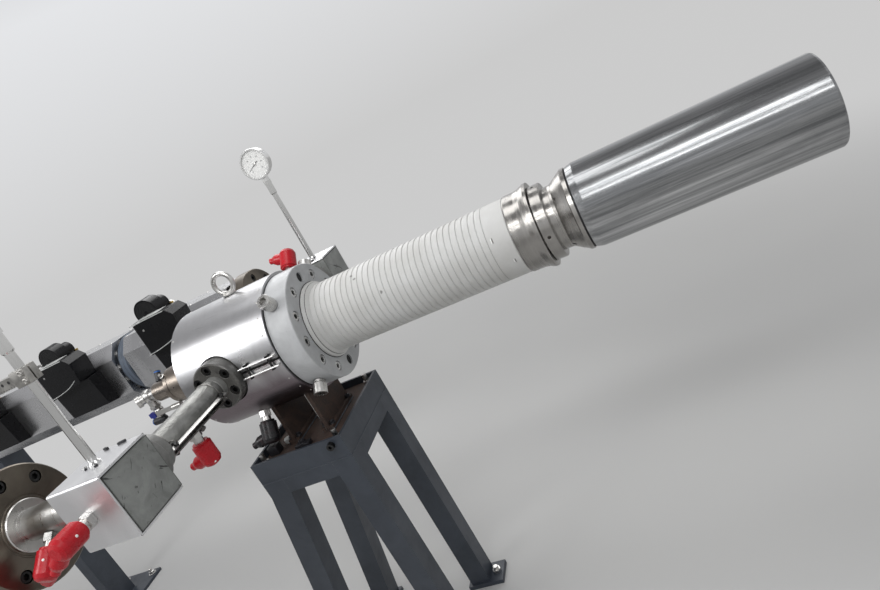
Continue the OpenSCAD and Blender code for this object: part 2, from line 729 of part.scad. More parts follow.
module gauge_stems() {
    h0 = adapter_h - sheet_t - cover_gap;
    top = gauge_h - gauge_r - 12;
    color("silver") on_axis() for (s = [-1, 1]) translate([feed_x, s * barrel_y, 0]) {
        turned_z([[0, h0], [stem_r, h0], [stem_r, adapter_h], [stem_r * 1.4, adapter_h],
            [stem_r * 1.4, adapter_h + 5], [stem_r, adapter_h + 9], [stem_r, top - 50],
            [stem_r * 1.3, top - 46], [stem_r * 1.3, top - 12], [0, top - 12]]);
        translate([0, 0, top - 12]) hex(stem_r * 1.6, 12);
        translate([stem_clip_x, 0, h0 - 8]) cylinder(h = adapter_h - h0 + 8, r = clip_r);
        translate([stem_clip_x, 0, adapter_h]) cylinder(h = 4, r = clip_r * 2);
    }
}

clamp_len = 120;
clamp_bar_h = 22;
// Split blocks on the stems, each with a slotted bar
module stem_clamps() {
    color("lightgray") on_axis() for (s = [-1, 1]) translate([feed_x, s * barrel_y, stem_clamp_h])
        difference() {
            union() {
                block([-18, -15, -16], [18, 15, 16]);
                block([-clamp_len, -10, -clamp_bar_h / 2], [0, 10, clamp_bar_h / 2]);
            }
            cylinder(h = 80, r = stem_r + fit, center = true);
            block([0, -1, -20], [20, 1, 20]);
            for (i = [0:4]) translate([-34 - 17 * i, 0, 0]) block([-5, -11, -3], [5, 11, 3]);
        }
}

bezel = 6;
module pressure_gauges() {
    color("silver") on_axis() for (s = [-1, 1]) translate([feed_x, s * barrel_y, gauge_h]) {
        rotate([90, 0, 0]) turned_z([[0, -gauge_t / 2], [gauge_r - 8, -gauge_t / 2],
            [gauge_r - 3, -gauge_t / 2 + 5],
            [gauge_r - 3, gauge_t / 2 - bezel], [gauge_r, gauge_t / 2 - bezel],
            [gauge_r, gauge_t / 2 - 1], [gauge_r - 1, gauge_t / 2],
            [gauge_r - bezel, gauge_t / 2], [gauge_r - bezel, gauge_t / 2 - bezel],
            [0, gauge_t / 2 - bezel]]);
        block([-9, -9, -gauge_r - 12], [9, 9, -gauge_r + 8]);
    }
}

module gauge_faces() {
    color("white") on_axis() for (s = [-1, 1]) translate([feed_x, s * barrel_y, gauge_h])
        rotate([90, 0, 0]) translate([0, 0, gauge_t / 2 - bezel])
            cylinder(h = 2, r = gauge_r - bezel - fit);
}

gland_r = 16;
pipe_plug_y = (pipe_y0 + pipe_y1) / 2 - 3;
boot_turn = 40;
// Turn about the head's axis and station of each heater plug on the jacket
plug_angles = [[-45, -flange_t - 26], [150, feed_x - 5]];
// Places of the heater plugs, with Z pointing out of the heated piece and zero at its skin
module plug_places() {
    for (p = plug_angles) rotate([p[0], 0, 0]) translate([p[1], 0, jacket_r]) children();
    both_sides() {
        translate([feed_x - 8, -barrel_y - adapter_h, 0]) rotate([90, 0, 0])
            rotate([0, 0, boot_turn]) children();
        translate([feed_x, pipe_plug_y, -pipe_cover_r]) rotate([180, 0, 0]) children();
        translate([barrel_x1 + 72, -barrel_y, 0]) rotate([130, 0, 0]) translate([0, 0, neck_pipe_r])
            rotate([0, 0, boot_turn]) children();
    }
}

module plug_glands() {
    color("silver") on_axis() plug_places() {
        translate([0, 0, fit]) cylinder(h = gland_out - fit, r = gland_r - 4);
        translate([0, 0, fit]) hex(gland_r, 16);
    }
}

// Rubber boot that turns the cable off to one side
boot_exit_h = boot_h - 22;
boot_bend = 78;
boot_len = 60;
module heater_plugs() {
    color("red") on_axis() plug_places() translate([0, 0, gland_out]) {
        turned_z([[0, 0], [plug_r - 4, 0], [plug_r - 4, 4], [plug_r, 6], [plug_r, boot_h - 12],
            [plug_r - 4, boot_h - 4], [plug_r - 11, boot_h], [0, boot_h]]);
        translate([0, 0, boot_exit_h]) rotate([0, -boot_bend, 0])
            turned_z([[0, 0], [plug_r - 7, 0], [plug_r - 7, boot_len - 22], [plug_r * 0.5, boot_len - 12],
                [plug_r * 0.4, boot_len - 12], [plug_r * 0.4, boot_len], [0, boot_len]]);
    }
}

module neck_pipes() {
    color("silver") on_axis() both_barrels() turned_x([[barrel_x1, 0], [barrel_x1, neck_ring_r],
        [barrel_x1 + neck_ring_t - 2, neck_ring_r], [barrel_x1 + neck_ring_t, neck_ring_r - 2],
        [barrel_x1 + neck_ring_t, neck_pipe_r], [feed_x - adapter_h, neck_pipe_r],
        [feed_x - adapter_h, 0]]);
}

module barrel_flanges() {
    color("tan") on_axis() both_barrels() difference() {
        turned_x([[barrel_x1 - barrel_flange_t, 0], [barrel_x1 - barrel_flange_t, barrel_flange_r - 2],
            [barrel_x1 - barrel_flange_t + 2, barrel_flange_r], [barrel_x1 - 3, barrel_flange_r],
            [barrel_x1, barrel_flange_r - 3], [barrel_x1, groove_r], [barrel_x1 - 1.5, groove_r - 1],
            [barrel_x1 - 1.5, groove_r - groove_w + 1], [barrel_x1, groove_r - groove_w], [barrel_x1, 0]]);
        around_x(barrel_screw_n) translate([barrel_x1, 0, barrel_screw_r])
            screw_hole(screw_head_r, screw_head_h, barrel_flange_t - 4);
    }
}

module barrel_flange_screws() {
    color("black") on_axis() both_barrels() around_x(barrel_screw_n)
        translate([barrel_x1 - screw_head_h - sink, 0, barrel_screw_r])
            socket_screw(screw_head_r, screw_head_h, barrel_flange_t - screw_head_h - 8);
}

module barrels() {
    color("dimgray") on_axis() both_barrels() {
        bar_x(joint_x1 - joint_flange_t, barrel_x1 - barrel_flange_t, barrel_r);
        bar_x(barrel_x0 + end_flange_t, joint_x0 + joint_flange_t, barrel_r);
    }
}

// The covers' section: flat top and side, the side's edges cut back
cover_profile = [[-cover_h, -78], [-cover_h, 68], [-cover_h + 50, cover_h - 1], [cover_h - 50, cover_h - 1],
    [cover_h, 68], [cover_h, -78], [cover_h - 40, -cover_h + 1], [-cover_h + 40, -cover_h + 1]];
module cover_box(x0, x1) difference() {
    translate([x0, 0, 0]) rotate([90, 0, 90]) linear_extrude(height = x1 - x0) polygon(cover_profile);
    bar_x(x0 - 1, x1 + 1, barrel_r + fit);
}
module zone_covers() {
    color("silver") on_axis() both_barrels() {
        cover_box(front_cover_x0, cover_x1);
        cover_box(rear_cover_x0, rear_cover_x1);
    }
}

cover_top = cover_h - 1;
eye_back = 70;
module cover_eyes() {
    color("silver") on_axis() both_barrels()
        for (x = [blower_x1 - eye_back, rear_cover_x0 + rear_cover_len / 2])
            translate([x, 0, cover_top]) difference() {
            union() {
                block([-30, -5, 0], [30, 5, 14]);
                translate([0, 0, 14]) bar_y(-5, 5, 30);
                block([-34, -16, 0], [34, 16, 4]);
            }
            translate([0, 0, 20]) bar_y(-6, 6, 15);
            block([-40, -20, -40], [40, 20, 0]);
        }
}

module thermocouples() {
    color("gold") on_axis() both_barrels() for (i = [0:blower_n - 1])
        translate([blower_x1 - i * blower_pitch - 34, -30, cover_top]) {
            hex(9, 12);
            translate([0, 0, 12]) cylinder(h = 20, r = 6);
            translate([0, 0, 32]) cylinder(h = 8, r = 8);
        }
}

// Two ring flanges face to face, where the barrel's front part is bolted on
module joint_flanges() {
    lug_r = (joint_flange_r + barrel_r) / 2 + 8;
    color("darkslategray") on_axis() both_barrels()
        for (x = [joint_x0, joint_x1 - joint_flange_t]) difference() {
            turned_x([[x, barrel_r + fit], [x, joint_flange_r - 2], [x + 2, joint_flange_r],
                [x + joint_flange_t - 2, joint_flange_r], [x + joint_flange_t, joint_flange_r - 2],
                [x + joint_flange_t, barrel_r + fit]]);
            around_x(barrel_screw_n, 22.5) translate([0, 0, lug_r]) bar_x(x - 1, x + joint_flange_t + 1, 6);
        }
}

blower_z0 = 35;
blower_z1 = 161;
duct_z0 = -78;
duct_w = blower_w + 30;
fan_seat = 4;
module at_blowers() for (i = [0:blower_n - 1])
    translate([blower_x1 - i * blower_pitch, -cover_h, 0]) children();
// Box with a slanted corner over a wider duct that lies against the cover's side
module blowers() {
    color("black") on_axis() both_barrels() at_blowers() {
        rotate([90, 0, 0]) linear_extrude(height = blower_depth)
            polygon([[-blower_w / 2, blower_z0], [blower_w / 2, blower_z0 + 22],
                [blower_w / 2 + 10, blower_z1 - 24],
                [blower_w / 2 - 12, blower_z1], [-blower_w / 2, blower_z1 - 4]]);
        translate([-duct_w / 2, 0, 0]) rotate([90, 0, 90]) linear_extrude(height = duct_w)
            polygon([[0, duct_z0], [-blower_depth * 0.6, duct_z0 + 10],
                [-blower_depth * 0.7, blower_z0 + 20], [0, blower_z0 + 20]]);
    }
}

fan_z = cover_top + fan_r + fit;
// Fan drum on the cover's top behind the box, with its motor behind the drum
module blower_fans() {
    color("black") on_axis() both_barrels() at_blowers() translate([-blower_w / 2, 0, fan_z]) {
        bar_y(fan_seat, fan_seat + fan_t, fan_r);
        bar_y(fan_seat + fan_t, fan_seat + fan_t + 44, fan_r * 0.65);
        block([0, fan_seat, -fan_r + 4], [fan_r + 20, fan_seat + fan_t, -fan_r * 0.3]);
    }
}

post_top = axis_h - barrel_r;
module barrel_posts() {
    color("darkslategray") on_floor() both_barrels() translate([post_x, 0, 0]) difference() {
        union() {
            block([-post_w / 2, -post_w, foot_t], [post_w / 2, post_w, post_top - 30]);
            block([-post_w / 2, -barrel_r - 24, post_top - 30], [post_w / 2, barrel_r + 24, axis_h]);
        }
        translate([0, 0, axis_h]) bar_x(-post_w, post_w, barrel_r + fit);
    }
}

module barrel_feet() {
    color("darkslategray") on_floor() both_barrels() translate([post_x, 0, 0]) difference() {
        block([-barrel_foot_x, -barrel_foot_y, 0], [barrel_foot_x, barrel_foot_y, foot_t]);
        for (x = [-1, 1] * (barrel_foot_x - anchor_edge), y = [-1, 1] * (barrel_foot_y - anchor_edge))
            translate([x, y, -1]) cylinder(h = foot_t + 2, r = anchor_r + 1);
    }
}

module barrel_end_flanges() {
    color("gray") on_axis() both_barrels() difference() {
        turned_x([[barrel_x0, 0], [barrel_x0, barrel_flange_r - 2], [barrel_x0 + 2, barrel_flange_r],
            [barrel_x0 + end_flange_t - 2, barrel_flange_r],
            [barrel_x0 + end_flange_t, barrel_flange_r - 2], [barrel_x0 + end_flange_t, 0]]);
        around_x(barrel_screw_n) translate([0, 0, barrel_screw_r])
            bar_x(barrel_x0 - 1, barrel_x0 + end_flange_t + 1, tail_bolt_r);
    }
}

head_body();
heater_jacket();
jacket_closure();
closure_clips();
head_flange();
flange_screws();
centring_bolts();
lifting_eye();
rear_hub();
hub_screws();
water_tee();
valve_body();
valve_lever();
hose_fittings();
ribbed_sleeve();
smooth_collar();
outer_lip();
inner_lip();
mandrel_cone();
seal_ring();
cooling_mandrel();
mandrel_cap();
stand_top_frame();
mounting_plate();
saddle_plates();
adjusting_bolts();
stand_bolts();
stand_rails();
front_legs();
back_legs();
stand_feet();
feed_flanges();
feed_flange_screws();
feed_pipes();
pipe_covers();
cover_edges();
adapter_blocks();
adapter_covers();
gauge_stems();
stem_clamps();
pressure_gauges();
gauge_faces();
plug_glands();
heater_plugs();
neck_pipes();
barrel_flanges();
barrel_flange_screws();
barrels();
zone_covers();
cover_eyes();
thermocouples();
joint_flanges();
blowers();
blower_fans();
barrel_posts();
barrel_feet();
barrel_end_flanges();
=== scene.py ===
"""Dresses the pipe extrusion head: camera, light, materials and the fine pieces."""
import math

import bmesh
import bpy
from mathutils import Matrix, Quaternion, Vector


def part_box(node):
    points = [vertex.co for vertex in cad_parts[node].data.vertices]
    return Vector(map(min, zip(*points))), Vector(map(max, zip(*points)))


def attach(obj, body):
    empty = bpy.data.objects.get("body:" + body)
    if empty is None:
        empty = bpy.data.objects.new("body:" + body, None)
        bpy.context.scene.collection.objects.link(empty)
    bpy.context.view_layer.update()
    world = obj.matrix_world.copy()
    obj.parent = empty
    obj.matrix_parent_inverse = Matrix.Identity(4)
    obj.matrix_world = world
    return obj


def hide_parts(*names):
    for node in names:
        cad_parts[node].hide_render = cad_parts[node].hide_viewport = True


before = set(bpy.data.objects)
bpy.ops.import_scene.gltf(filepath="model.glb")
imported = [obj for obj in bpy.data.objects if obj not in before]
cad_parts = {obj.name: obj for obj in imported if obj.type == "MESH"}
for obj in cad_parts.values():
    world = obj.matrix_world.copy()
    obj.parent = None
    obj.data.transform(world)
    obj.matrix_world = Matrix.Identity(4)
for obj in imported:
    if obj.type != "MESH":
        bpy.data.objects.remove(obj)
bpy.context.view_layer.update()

# ---------------------------------------------------------------- places
X0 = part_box("head_flange")[1].x
AXIS = (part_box("cooling_mandrel")[0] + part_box("cooling_mandrel")[1]) / 2
Y0, Z0 = AXIS.y, AXIS.z
FEED = -250.0           # station of the feed branches, in the same millimetres as P
BARREL = 578.0          # from the head's axis to a barrel's


def P(x, y, z):
    """A place in metres from millimetres along the head's axis, across it and above it."""
    return Vector((X0 + x / 1000, Y0 + y / 1000, Z0 + z / 1000))


def mm(node):
    """A node's box in the same millimetres as P."""
    low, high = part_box(node)
    at = Vector((X0, Y0, Z0))
    return (low - at) * 1000, (high - at) * 1000


# ---------------------------------------------------------------- camera
PHOTO_W = 880           # width of the photograph, in pixels
FOCAL = 645.11          # focal length that fits it, in pixels
SENSOR = 36             # in mm

camera = bpy.data.objects.new("camera", bpy.data.cameras.new("camera"))
bpy.context.scene.collection.objects.link(camera)
camera.data.sensor_width = SENSOR
camera.data.lens = SENSOR * FOCAL / PHOTO_W
camera.data.clip_start = 0.02
camera.location = P(832.4, -1441.2, 372.5)
camera.rotation_mode = "QUATERNION"
camera.rotation_quaternion = Quaternion((0.79540085, 0.550031892, 0.247396535, -0.059977995))
bpy.context.scene.camera = camera
bpy.context.scene.view_settings.view_transform = "Standard"

# ---------------------------------------------------------------- materials
# The sockets of a Mix node that mixes colours
MIX_FACTOR, MIX_A, MIX_B, MIX_RESULT = 0, 6, 7, 2


class Mat:
    """Builds one procedural material; every place in it is in metres of the model."""

    def __init__(self, name):
        self.m = bpy.data.materials.new(name)
        self.m.use_nodes = True
        self.t = self.m.node_tree
        self.b = self.t.nodes["Principled BSDF"]
        self.pos = self.t.nodes.new("ShaderNodeTexCoord").outputs["Object"]

    def node(self, kind, out=0, links=None, **props):
        n = self.t.nodes.new(kind)
        for key, value in props.items():
            setattr(n, key, value)
        for key, value in (links or {}).items():
            if isinstance(value, bpy.types.NodeSocket):
                self.t.links.new(value, n.inputs[key])
            else:
                n.inputs[key].default_value = value
        return n.outputs[out]

    def coordinate(self, axis):
        return self.node("ShaderNodeSeparateXYZ", out="XYZ".index(axis), links={0: self.pos})

    def distance(self, place):
        return self.node("ShaderNodeVectorMath", out="Value", operation="DISTANCE",
                         links={0: self.pos, 1: tuple(place)})

    def noise(self, scale, detail=5.0, stretch=(1, 1, 1), rough=0.55, distort=0.0, place=None):
        """Noise of about scale lumps to a metre, drawn out along the axes with a small stretch."""
        if place is None:
            place = self.pos
        if stretch != (1, 1, 1):
            place = self.node("ShaderNodeVectorMath", operation="MULTIPLY",
                              links={0: place, 1: stretch})
        return self.node("ShaderNodeTexNoise",
                         links={"Vector": place, "Scale": scale, "Detail": detail,
                                "Roughness": rough, "Distortion": distort})

    def rings(self, scale, detail=3.0):
        """Noise that changes only along X, as a lathe tool leaves it."""
        return self.node("ShaderNodeTexNoise", noise_dimensions="1D",
                         links={"W": self.coordinate("X"), "Scale": scale, "Detail": detail})

    def map(self, fac, a, b, c=0.0, d=1.0):
        """What runs from a to b, cut off there and spread from c to d."""
        return self.node("ShaderNodeMapRange", links={0: fac, 1: a, 2: b, 3: c, 4: d})

    def mix(self, fac, a, b):
        n = self.t.nodes.new("ShaderNodeMix")
        n.data_type = "RGBA"
        for key, value in ((MIX_FACTOR, fac), (MIX_A, a), (MIX_B, b)):
            if isinstance(value, bpy.types.NodeSocket):
                self.t.links.new(value, n.inputs[key])
            else:
                n.inputs[key].default_value = value if key == MIX_FACTOR else (*value, 1)
        return n.outputs[MIX_RESULT]

    def math(self, op, a, b=0.0):
        return self.node("ShaderNodeMath", links={0: a, 1: b}, operation=op)

    def edge(self, radius=0.002, low=0.03, high=0.25):
        """1 along outside and inside edges, 0 on the faces."""
        soft = self.node("ShaderNodeBevel", links={"Radius": radius}, samples=4)
        true = self.node("ShaderNodeNewGeometry", out="Normal")
        dot = self.node("ShaderNodeVectorMath", out="Value", links={0: soft, 1: true},
                        operation="DOT_PRODUCT")
        return self.map(dot, 1 - low, 1 - high)

    def bump(self, height, depth, strength=1.0):
        """Relief of a depth in metres, over edges that are softened a little."""
        n = self.t.nodes.new("ShaderNodeBump")
        n.inputs["Strength"].default_value = strength
        n.inputs["Distance"].default_value = depth
        self.t.links.new(height, n.inputs["Height"])
        soft = self.node("ShaderNodeBevel", links={"Radius": 0.0008}, samples=4)
        self.t.links.new(soft, n.inputs["Normal"])
        self.t.links.new(n.outputs[0], self.b.inputs["Normal"])

    def set(self, color=None, rough=None, metal=None, **more):
        for key, value in (("Base Color", color), ("Roughness", rough), ("Metallic", metal),
                           *((k.replace("_", " "), v) for k, v in more.items())):
            if value is None:
                continue
            if isinstance(value, bpy.types.NodeSocket):
                self.t.links.new(value, self.b.inputs[key])
            elif isinstance(value, tuple):
                self.b.inputs[key].default_value = (*value, 1)
            else:
                self.b.inputs[key].default_value = value


def shade(tone, by):
    """A tone made darker, or lighter up to white."""
    return tuple(min(1.0, c * by) for c in tone)


def brushed(name, tone, rough, grain=(1, 1, 1), scale=900.0, smear=9.0, stain=0.12, depth=0.00004):
    """Bare metal with a fine grain, faint smears and darker patches."""
    m = Mat(name)
    fine = m.noise(scale, 3.0, grain)
    smears = m.noise(smear, 6.0, tuple(0.3 + 0.7 * g for g in grain), distort=0.6)
    color = m.mix(m.map(smears, 0.3, 0.7), shade(tone, 1 - stain), shade(tone, 1 + stain * 0.5))
    color = m.mix(m.map(fine, 0.2, 0.8, 0.0, 0.25), color, shade(tone, 0.8))
    r = m.math("ADD", m.map(smears, 0.3, 0.7, rough - 0.07, rough + 0.08),
               m.map(fine, 0.3, 0.7, -0.03, 0.04))
    m.set(color, r, 1.0)
    m.bump(fine, depth)
    return m


def turned(name, tone, rough, depth=0.00003, stain=0.1):
    """Metal from the lathe, with rings along X."""
    m = Mat(name)
    rings = m.rings(1600.0)
    bands = m.rings(60.0, 2.0)
    smears = m.noise(7.0, 5.0, distort=0.8)
    color = m.mix(m.map(smears, 0.35, 0.7), tone, shade(tone, 1 - stain))
    color = m.mix(m.map(rings, 0.35, 0.65, 0.0, 0.3), color, shade(tone, 0.72))
    color = m.mix(m.map(bands, 0.4, 0.7, 0.0, 0.22), color, shade(tone, 1.15))
    r = m.math("ADD", m.map(bands, 0.3, 0.7, rough - 0.05, rough + 0.06),
               m.map(smears, 0.3, 0.7, -0.03, 0.05))
    m.set(color, r, 1.0)
    m.bump(rings, depth)
    return m


def painted(name, tone, rough, bare=(0.45, 0.44, 0.42), wear=0.5, dirt=0.25, scale=14.0, shine=0.5):
    """Paint with an orange-peel skin, dirt in patches and rubbed edges."""
    m = Mat(name)
    patches = m.noise(scale, 8.0, rough=0.65, distort=0.4)
    specks = m.noise(scale * 14, 4.0)
    peel = m.noise(420.0, 2.0)
    color = m.mix(m.map(patches, 0.35, 0.72), tone, shade(tone, 1 - dirt))
    color = m.mix(m.map(specks, 0.62, 0.75, 0.0, 0.35), color, shade(tone, 0.6))
    rub = m.math("MULTIPLY", m.edge(), m.map(specks, 0.42, 0.6))
    rub = m.math("MULTIPLY", rub, wear)
    color = m.mix(rub, color, bare)
    m.set(color, m.map(patches, 0.3, 0.7, rough - 0.06, rough + 0.12),
          m.math("MULTIPLY", rub, 0.7), Specular_IOR_Level=shine)
    m.bump(peel, 0.00006)
    return m


def jacket_sheet():
    """Brushed stainless wrap: ground across, scratched, and dark and reddish on its underside,
    partly from smoke and heat and partly as painted shade and reflection.
    """
    m = Mat("jacket_sheet")
    grain = m.noise(700.0, 3.0, (0.12, 1, 1))
    cloud = m.noise(5.0, 6.0, (1, 0.5, 0.5), distort=0.7)
    # Painted shade and reflection, partly heat tint: below the axis the sheet turns dark and
    # reddish
    low = m.math("ADD", m.map(m.coordinate("Z"), Z0, Z0 - 0.07),
                 m.map(cloud, 0.3, 0.7, -0.25, 0.25))
    color = m.mix(m.map(cloud, 0.3, 0.72), (0.62, 0.62, 0.63), (0.46, 0.46, 0.47))
    color = m.mix(m.map(low, 0.1, 1.0), color, (0.17, 0.135, 0.148))
    hair = m.map(m.noise(60.0, 4.0, (0.05, 1, 1), distort=1.5), 0.66, 0.70, 0.0, 0.5)
    color = m.mix(hair, color, (0.26, 0.26, 0.27))
    color = m.mix(m.map(grain, 0.3, 0.7, 0.0, 0.2), color, (0.34, 0.34, 0.35))
    m.set(color, m.map(cloud, 0.3, 0.7, 0.25, 0.34), 1.0)
    m.bump(grain, 0.00004)
    return m


def mandrel_steel():
    """Ground and polished steel with painted reflection streaks, light and dark, drawn out along
    the axis.
    """
    m = Mat("polished_steel")
    rings = m.rings(1500.0)
    # Painted reflections: light and dark streaks drawn out along the axis
    drawn = m.noise(70.0, 6.0, (0.025, 1, 1), rough=0.72)
    broad = m.noise(20.0, 3.0, (0.03, 1, 1))
    cloud = m.noise(9.0, 6.0, (0.5, 1, 1), distort=0.6)
    color = m.mix(m.map(drawn, 0.36, 0.64), (0.60, 0.605, 0.61), (0.20, 0.205, 0.21))
    color = m.mix(m.map(broad, 0.42, 0.60, 0.0, 0.55), color, (0.085, 0.09, 0.093))
    color = m.mix(m.map(cloud, 0.5, 0.75, 0.0, 0.4), color, (0.15, 0.155, 0.16))
    color = m.mix(m.map(rings, 0.4, 0.7, 0.0, 0.12), color, (0.46, 0.46, 0.47))
    r = m.math("ADD", m.map(cloud, 0.3, 0.7, 0.15, 0.22), m.map(drawn, 0.4, 0.6, -0.03, 0.05))
    m.set(color, r, 1.0)
    m.bump(rings, 0.00001)
    return m


def two_tone(name, near, far, rough, place, inner, outer, metal=(0.0, 0.0)):
    """One moulding in two colours that meet at a distance from a place, or without one at an X."""
    m = Mat(name)
    gap = m.coordinate("X") if place is None else m.distance(place)
    step = m.map(gap, inner, outer)
    dust = m.noise(60.0, 6.0)
    color = m.mix(step, near, far)
    color = m.mix(m.map(dust, 0.5, 0.8, 0.0, 0.2), color, (0.12, 0.02, 0.025))
    m.set(color, m.map(dust, 0.3, 0.7, rough - 0.04, rough + 0.12), m.map(step, 0, 1, *metal),
          Specular_IOR_Level=0.35)
    m.bump(m.noise(260.0, 2.0), 0.00012)
    return m


def scuffed():
    """Thin grey paint on cast steel with black scratches, oily patches and near-black edges."""
    m = Mat("scuffed_grey")
    cloud = m.noise(13.0, 7.0, rough=0.65, distort=0.5)
    color = m.mix(m.map(cloud, 0.35, 0.7), (0.34, 0.352, 0.34), (0.185, 0.192, 0.185))
    black = m.map(m.noise(44.0, 7.0, rough=0.7), 0.655, 0.70)
    # Three sets of scratches: angle about X, lumps to a metre and where the noise is cut
    for angle, scale, cut in ((0.6, 85.0, 0.635), (2.2, 130.0, 0.645), (1.3, 52.0, 0.66)):
        at = m.node("ShaderNodeVectorRotate", rotation_type="X_AXIS",
                    links={"Vector": m.pos, "Angle": angle})
        lines = m.noise(scale, 6.0, (1, 0.16, 1), rough=0.62, distort=0.6, place=at)
        black = m.math("MAXIMUM", black, m.map(lines, cut, cut + 0.025))
    color = m.mix(m.math("MULTIPLY", black, 0.85), color, (0.03, 0.03, 0.03))
    # Edges and corners darkened to near black
    color = m.mix(m.edge(0.004, 0.01, 0.2), color, (0.035, 0.035, 0.034))
    r = m.math("ADD", m.map(cloud, 0.3, 0.7, 0.28, 0.42), m.math("MULTIPLY", black, 0.2))
    m.set(color, r, 0.25)
    m.bump(m.noise(300.0, 3.0), 0.0001)
    return m


def white_coat():
    """Wound white tape with a dusty sheen, painted shade as thin darker lines along its grooves and
    edges, and a few rubs.
    """
    m = Mat("white_coat")
    patches = m.noise(9.0, 7.0, rough=0.6)
    specks = m.noise(160.0, 3.0)
    lines = m.rings(900.0, 2.0)
    color = m.mix(m.map(patches, 0.35, 0.75), (0.66, 0.66, 0.65), (0.54, 0.535, 0.515))
    # Painted shade: thin darker lines along the grooves and edges
    color = m.mix(m.edge(0.0016, 0.01, 0.3), color, (0.30, 0.30, 0.29))
    color = m.mix(m.map(specks, 0.70, 0.76, 0.0, 0.6), color, (0.42, 0.41, 0.39))
    for spot in ((145, -39, 83), (155, -52, 76), (216, -88, 28), (330, 60, -70), (420, 10, -92)):
        gap = m.math("ADD", m.distance(P(*spot)), m.map(specks, 0.3, 0.7, -0.002, 0.002))
        color = m.mix(m.map(gap, 0.0045, 0.0025, 0.0, 0.75), color, (0.14, 0.135, 0.13))
    m.set(color, m.map(patches, 0.3, 0.7, 0.42, 0.6), 0.0)
    m.bump(lines, 0.00008)
    return m


def heat_tint():
    """Bare steel hub that the heat has tinted straw and brown."""
    m = Mat("heat_tinted_steel")
    tint = m.noise(22.0, 5.0, distort=0.5)
    grain = m.rings(1200.0)
    color = m.mix(m.map(tint, 0.3, 0.7), (0.34, 0.305, 0.27), (0.18, 0.15, 0.125))
    color = m.mix(m.map(grain, 0.4, 0.7, 0.0, 0.3), color, (0.22, 0.18, 0.15))
    m.set(color, m.map(tint, 0.3, 0.7, 0.22, 0.36), 1.0)
    m.bump(grain, 0.00004)
    return m


def rusty():
    """Flame-cut plate under rust and old oil."""
    m = Mat("rusty_plate")
    coarse = m.noise(16.0, 9.0, rough=0.7, distort=0.7)
    fine = m.noise(190.0, 5.0)
    color = m.mix(m.map(coarse, 0.35, 0.68), (0.040, 0.032, 0.030), (0.085, 0.050, 0.036))
    color = m.mix(m.map(fine, 0.55, 0.75, 0.0, 0.6), color, (0.14, 0.078, 0.05))
    m.set(color, m.map(coarse, 0.3, 0.7, 0.55, 0.85), m.map(coarse, 0.4, 0.6, 0.4, 0.0))
    m.bump(m.math("ADD", fine, coarse), 0.0004, 0.6)
    return m


def plain_face(name, tone, rough, metal=0.0):
    """An even, printed, moulded or polished face with a faint cloudiness."""
    m = Mat(name)
    cloud = m.noise(18.0, 2.0)
    color = m.mix(m.map(cloud, 0.3, 0.7), tone, shade(tone, 0.94))
    m.set(color, m.map(cloud, 0.3, 0.7, rough - 0.04, rough + 0.04), metal)
    return m


def clear_glass():
    m = Mat("gauge_glass")
    m.set((0.95, 0.97, 0.97), 0.05, 0.0, Alpha=0.05)
    m.bump(m.noise(30.0, 2.0), 0.000005)
    return m


BOOT = (-274, -112, -192)       # the place about which the boots' black and red meet
BOOT_INNER, BOOT_OUTER = 0.078, 0.082

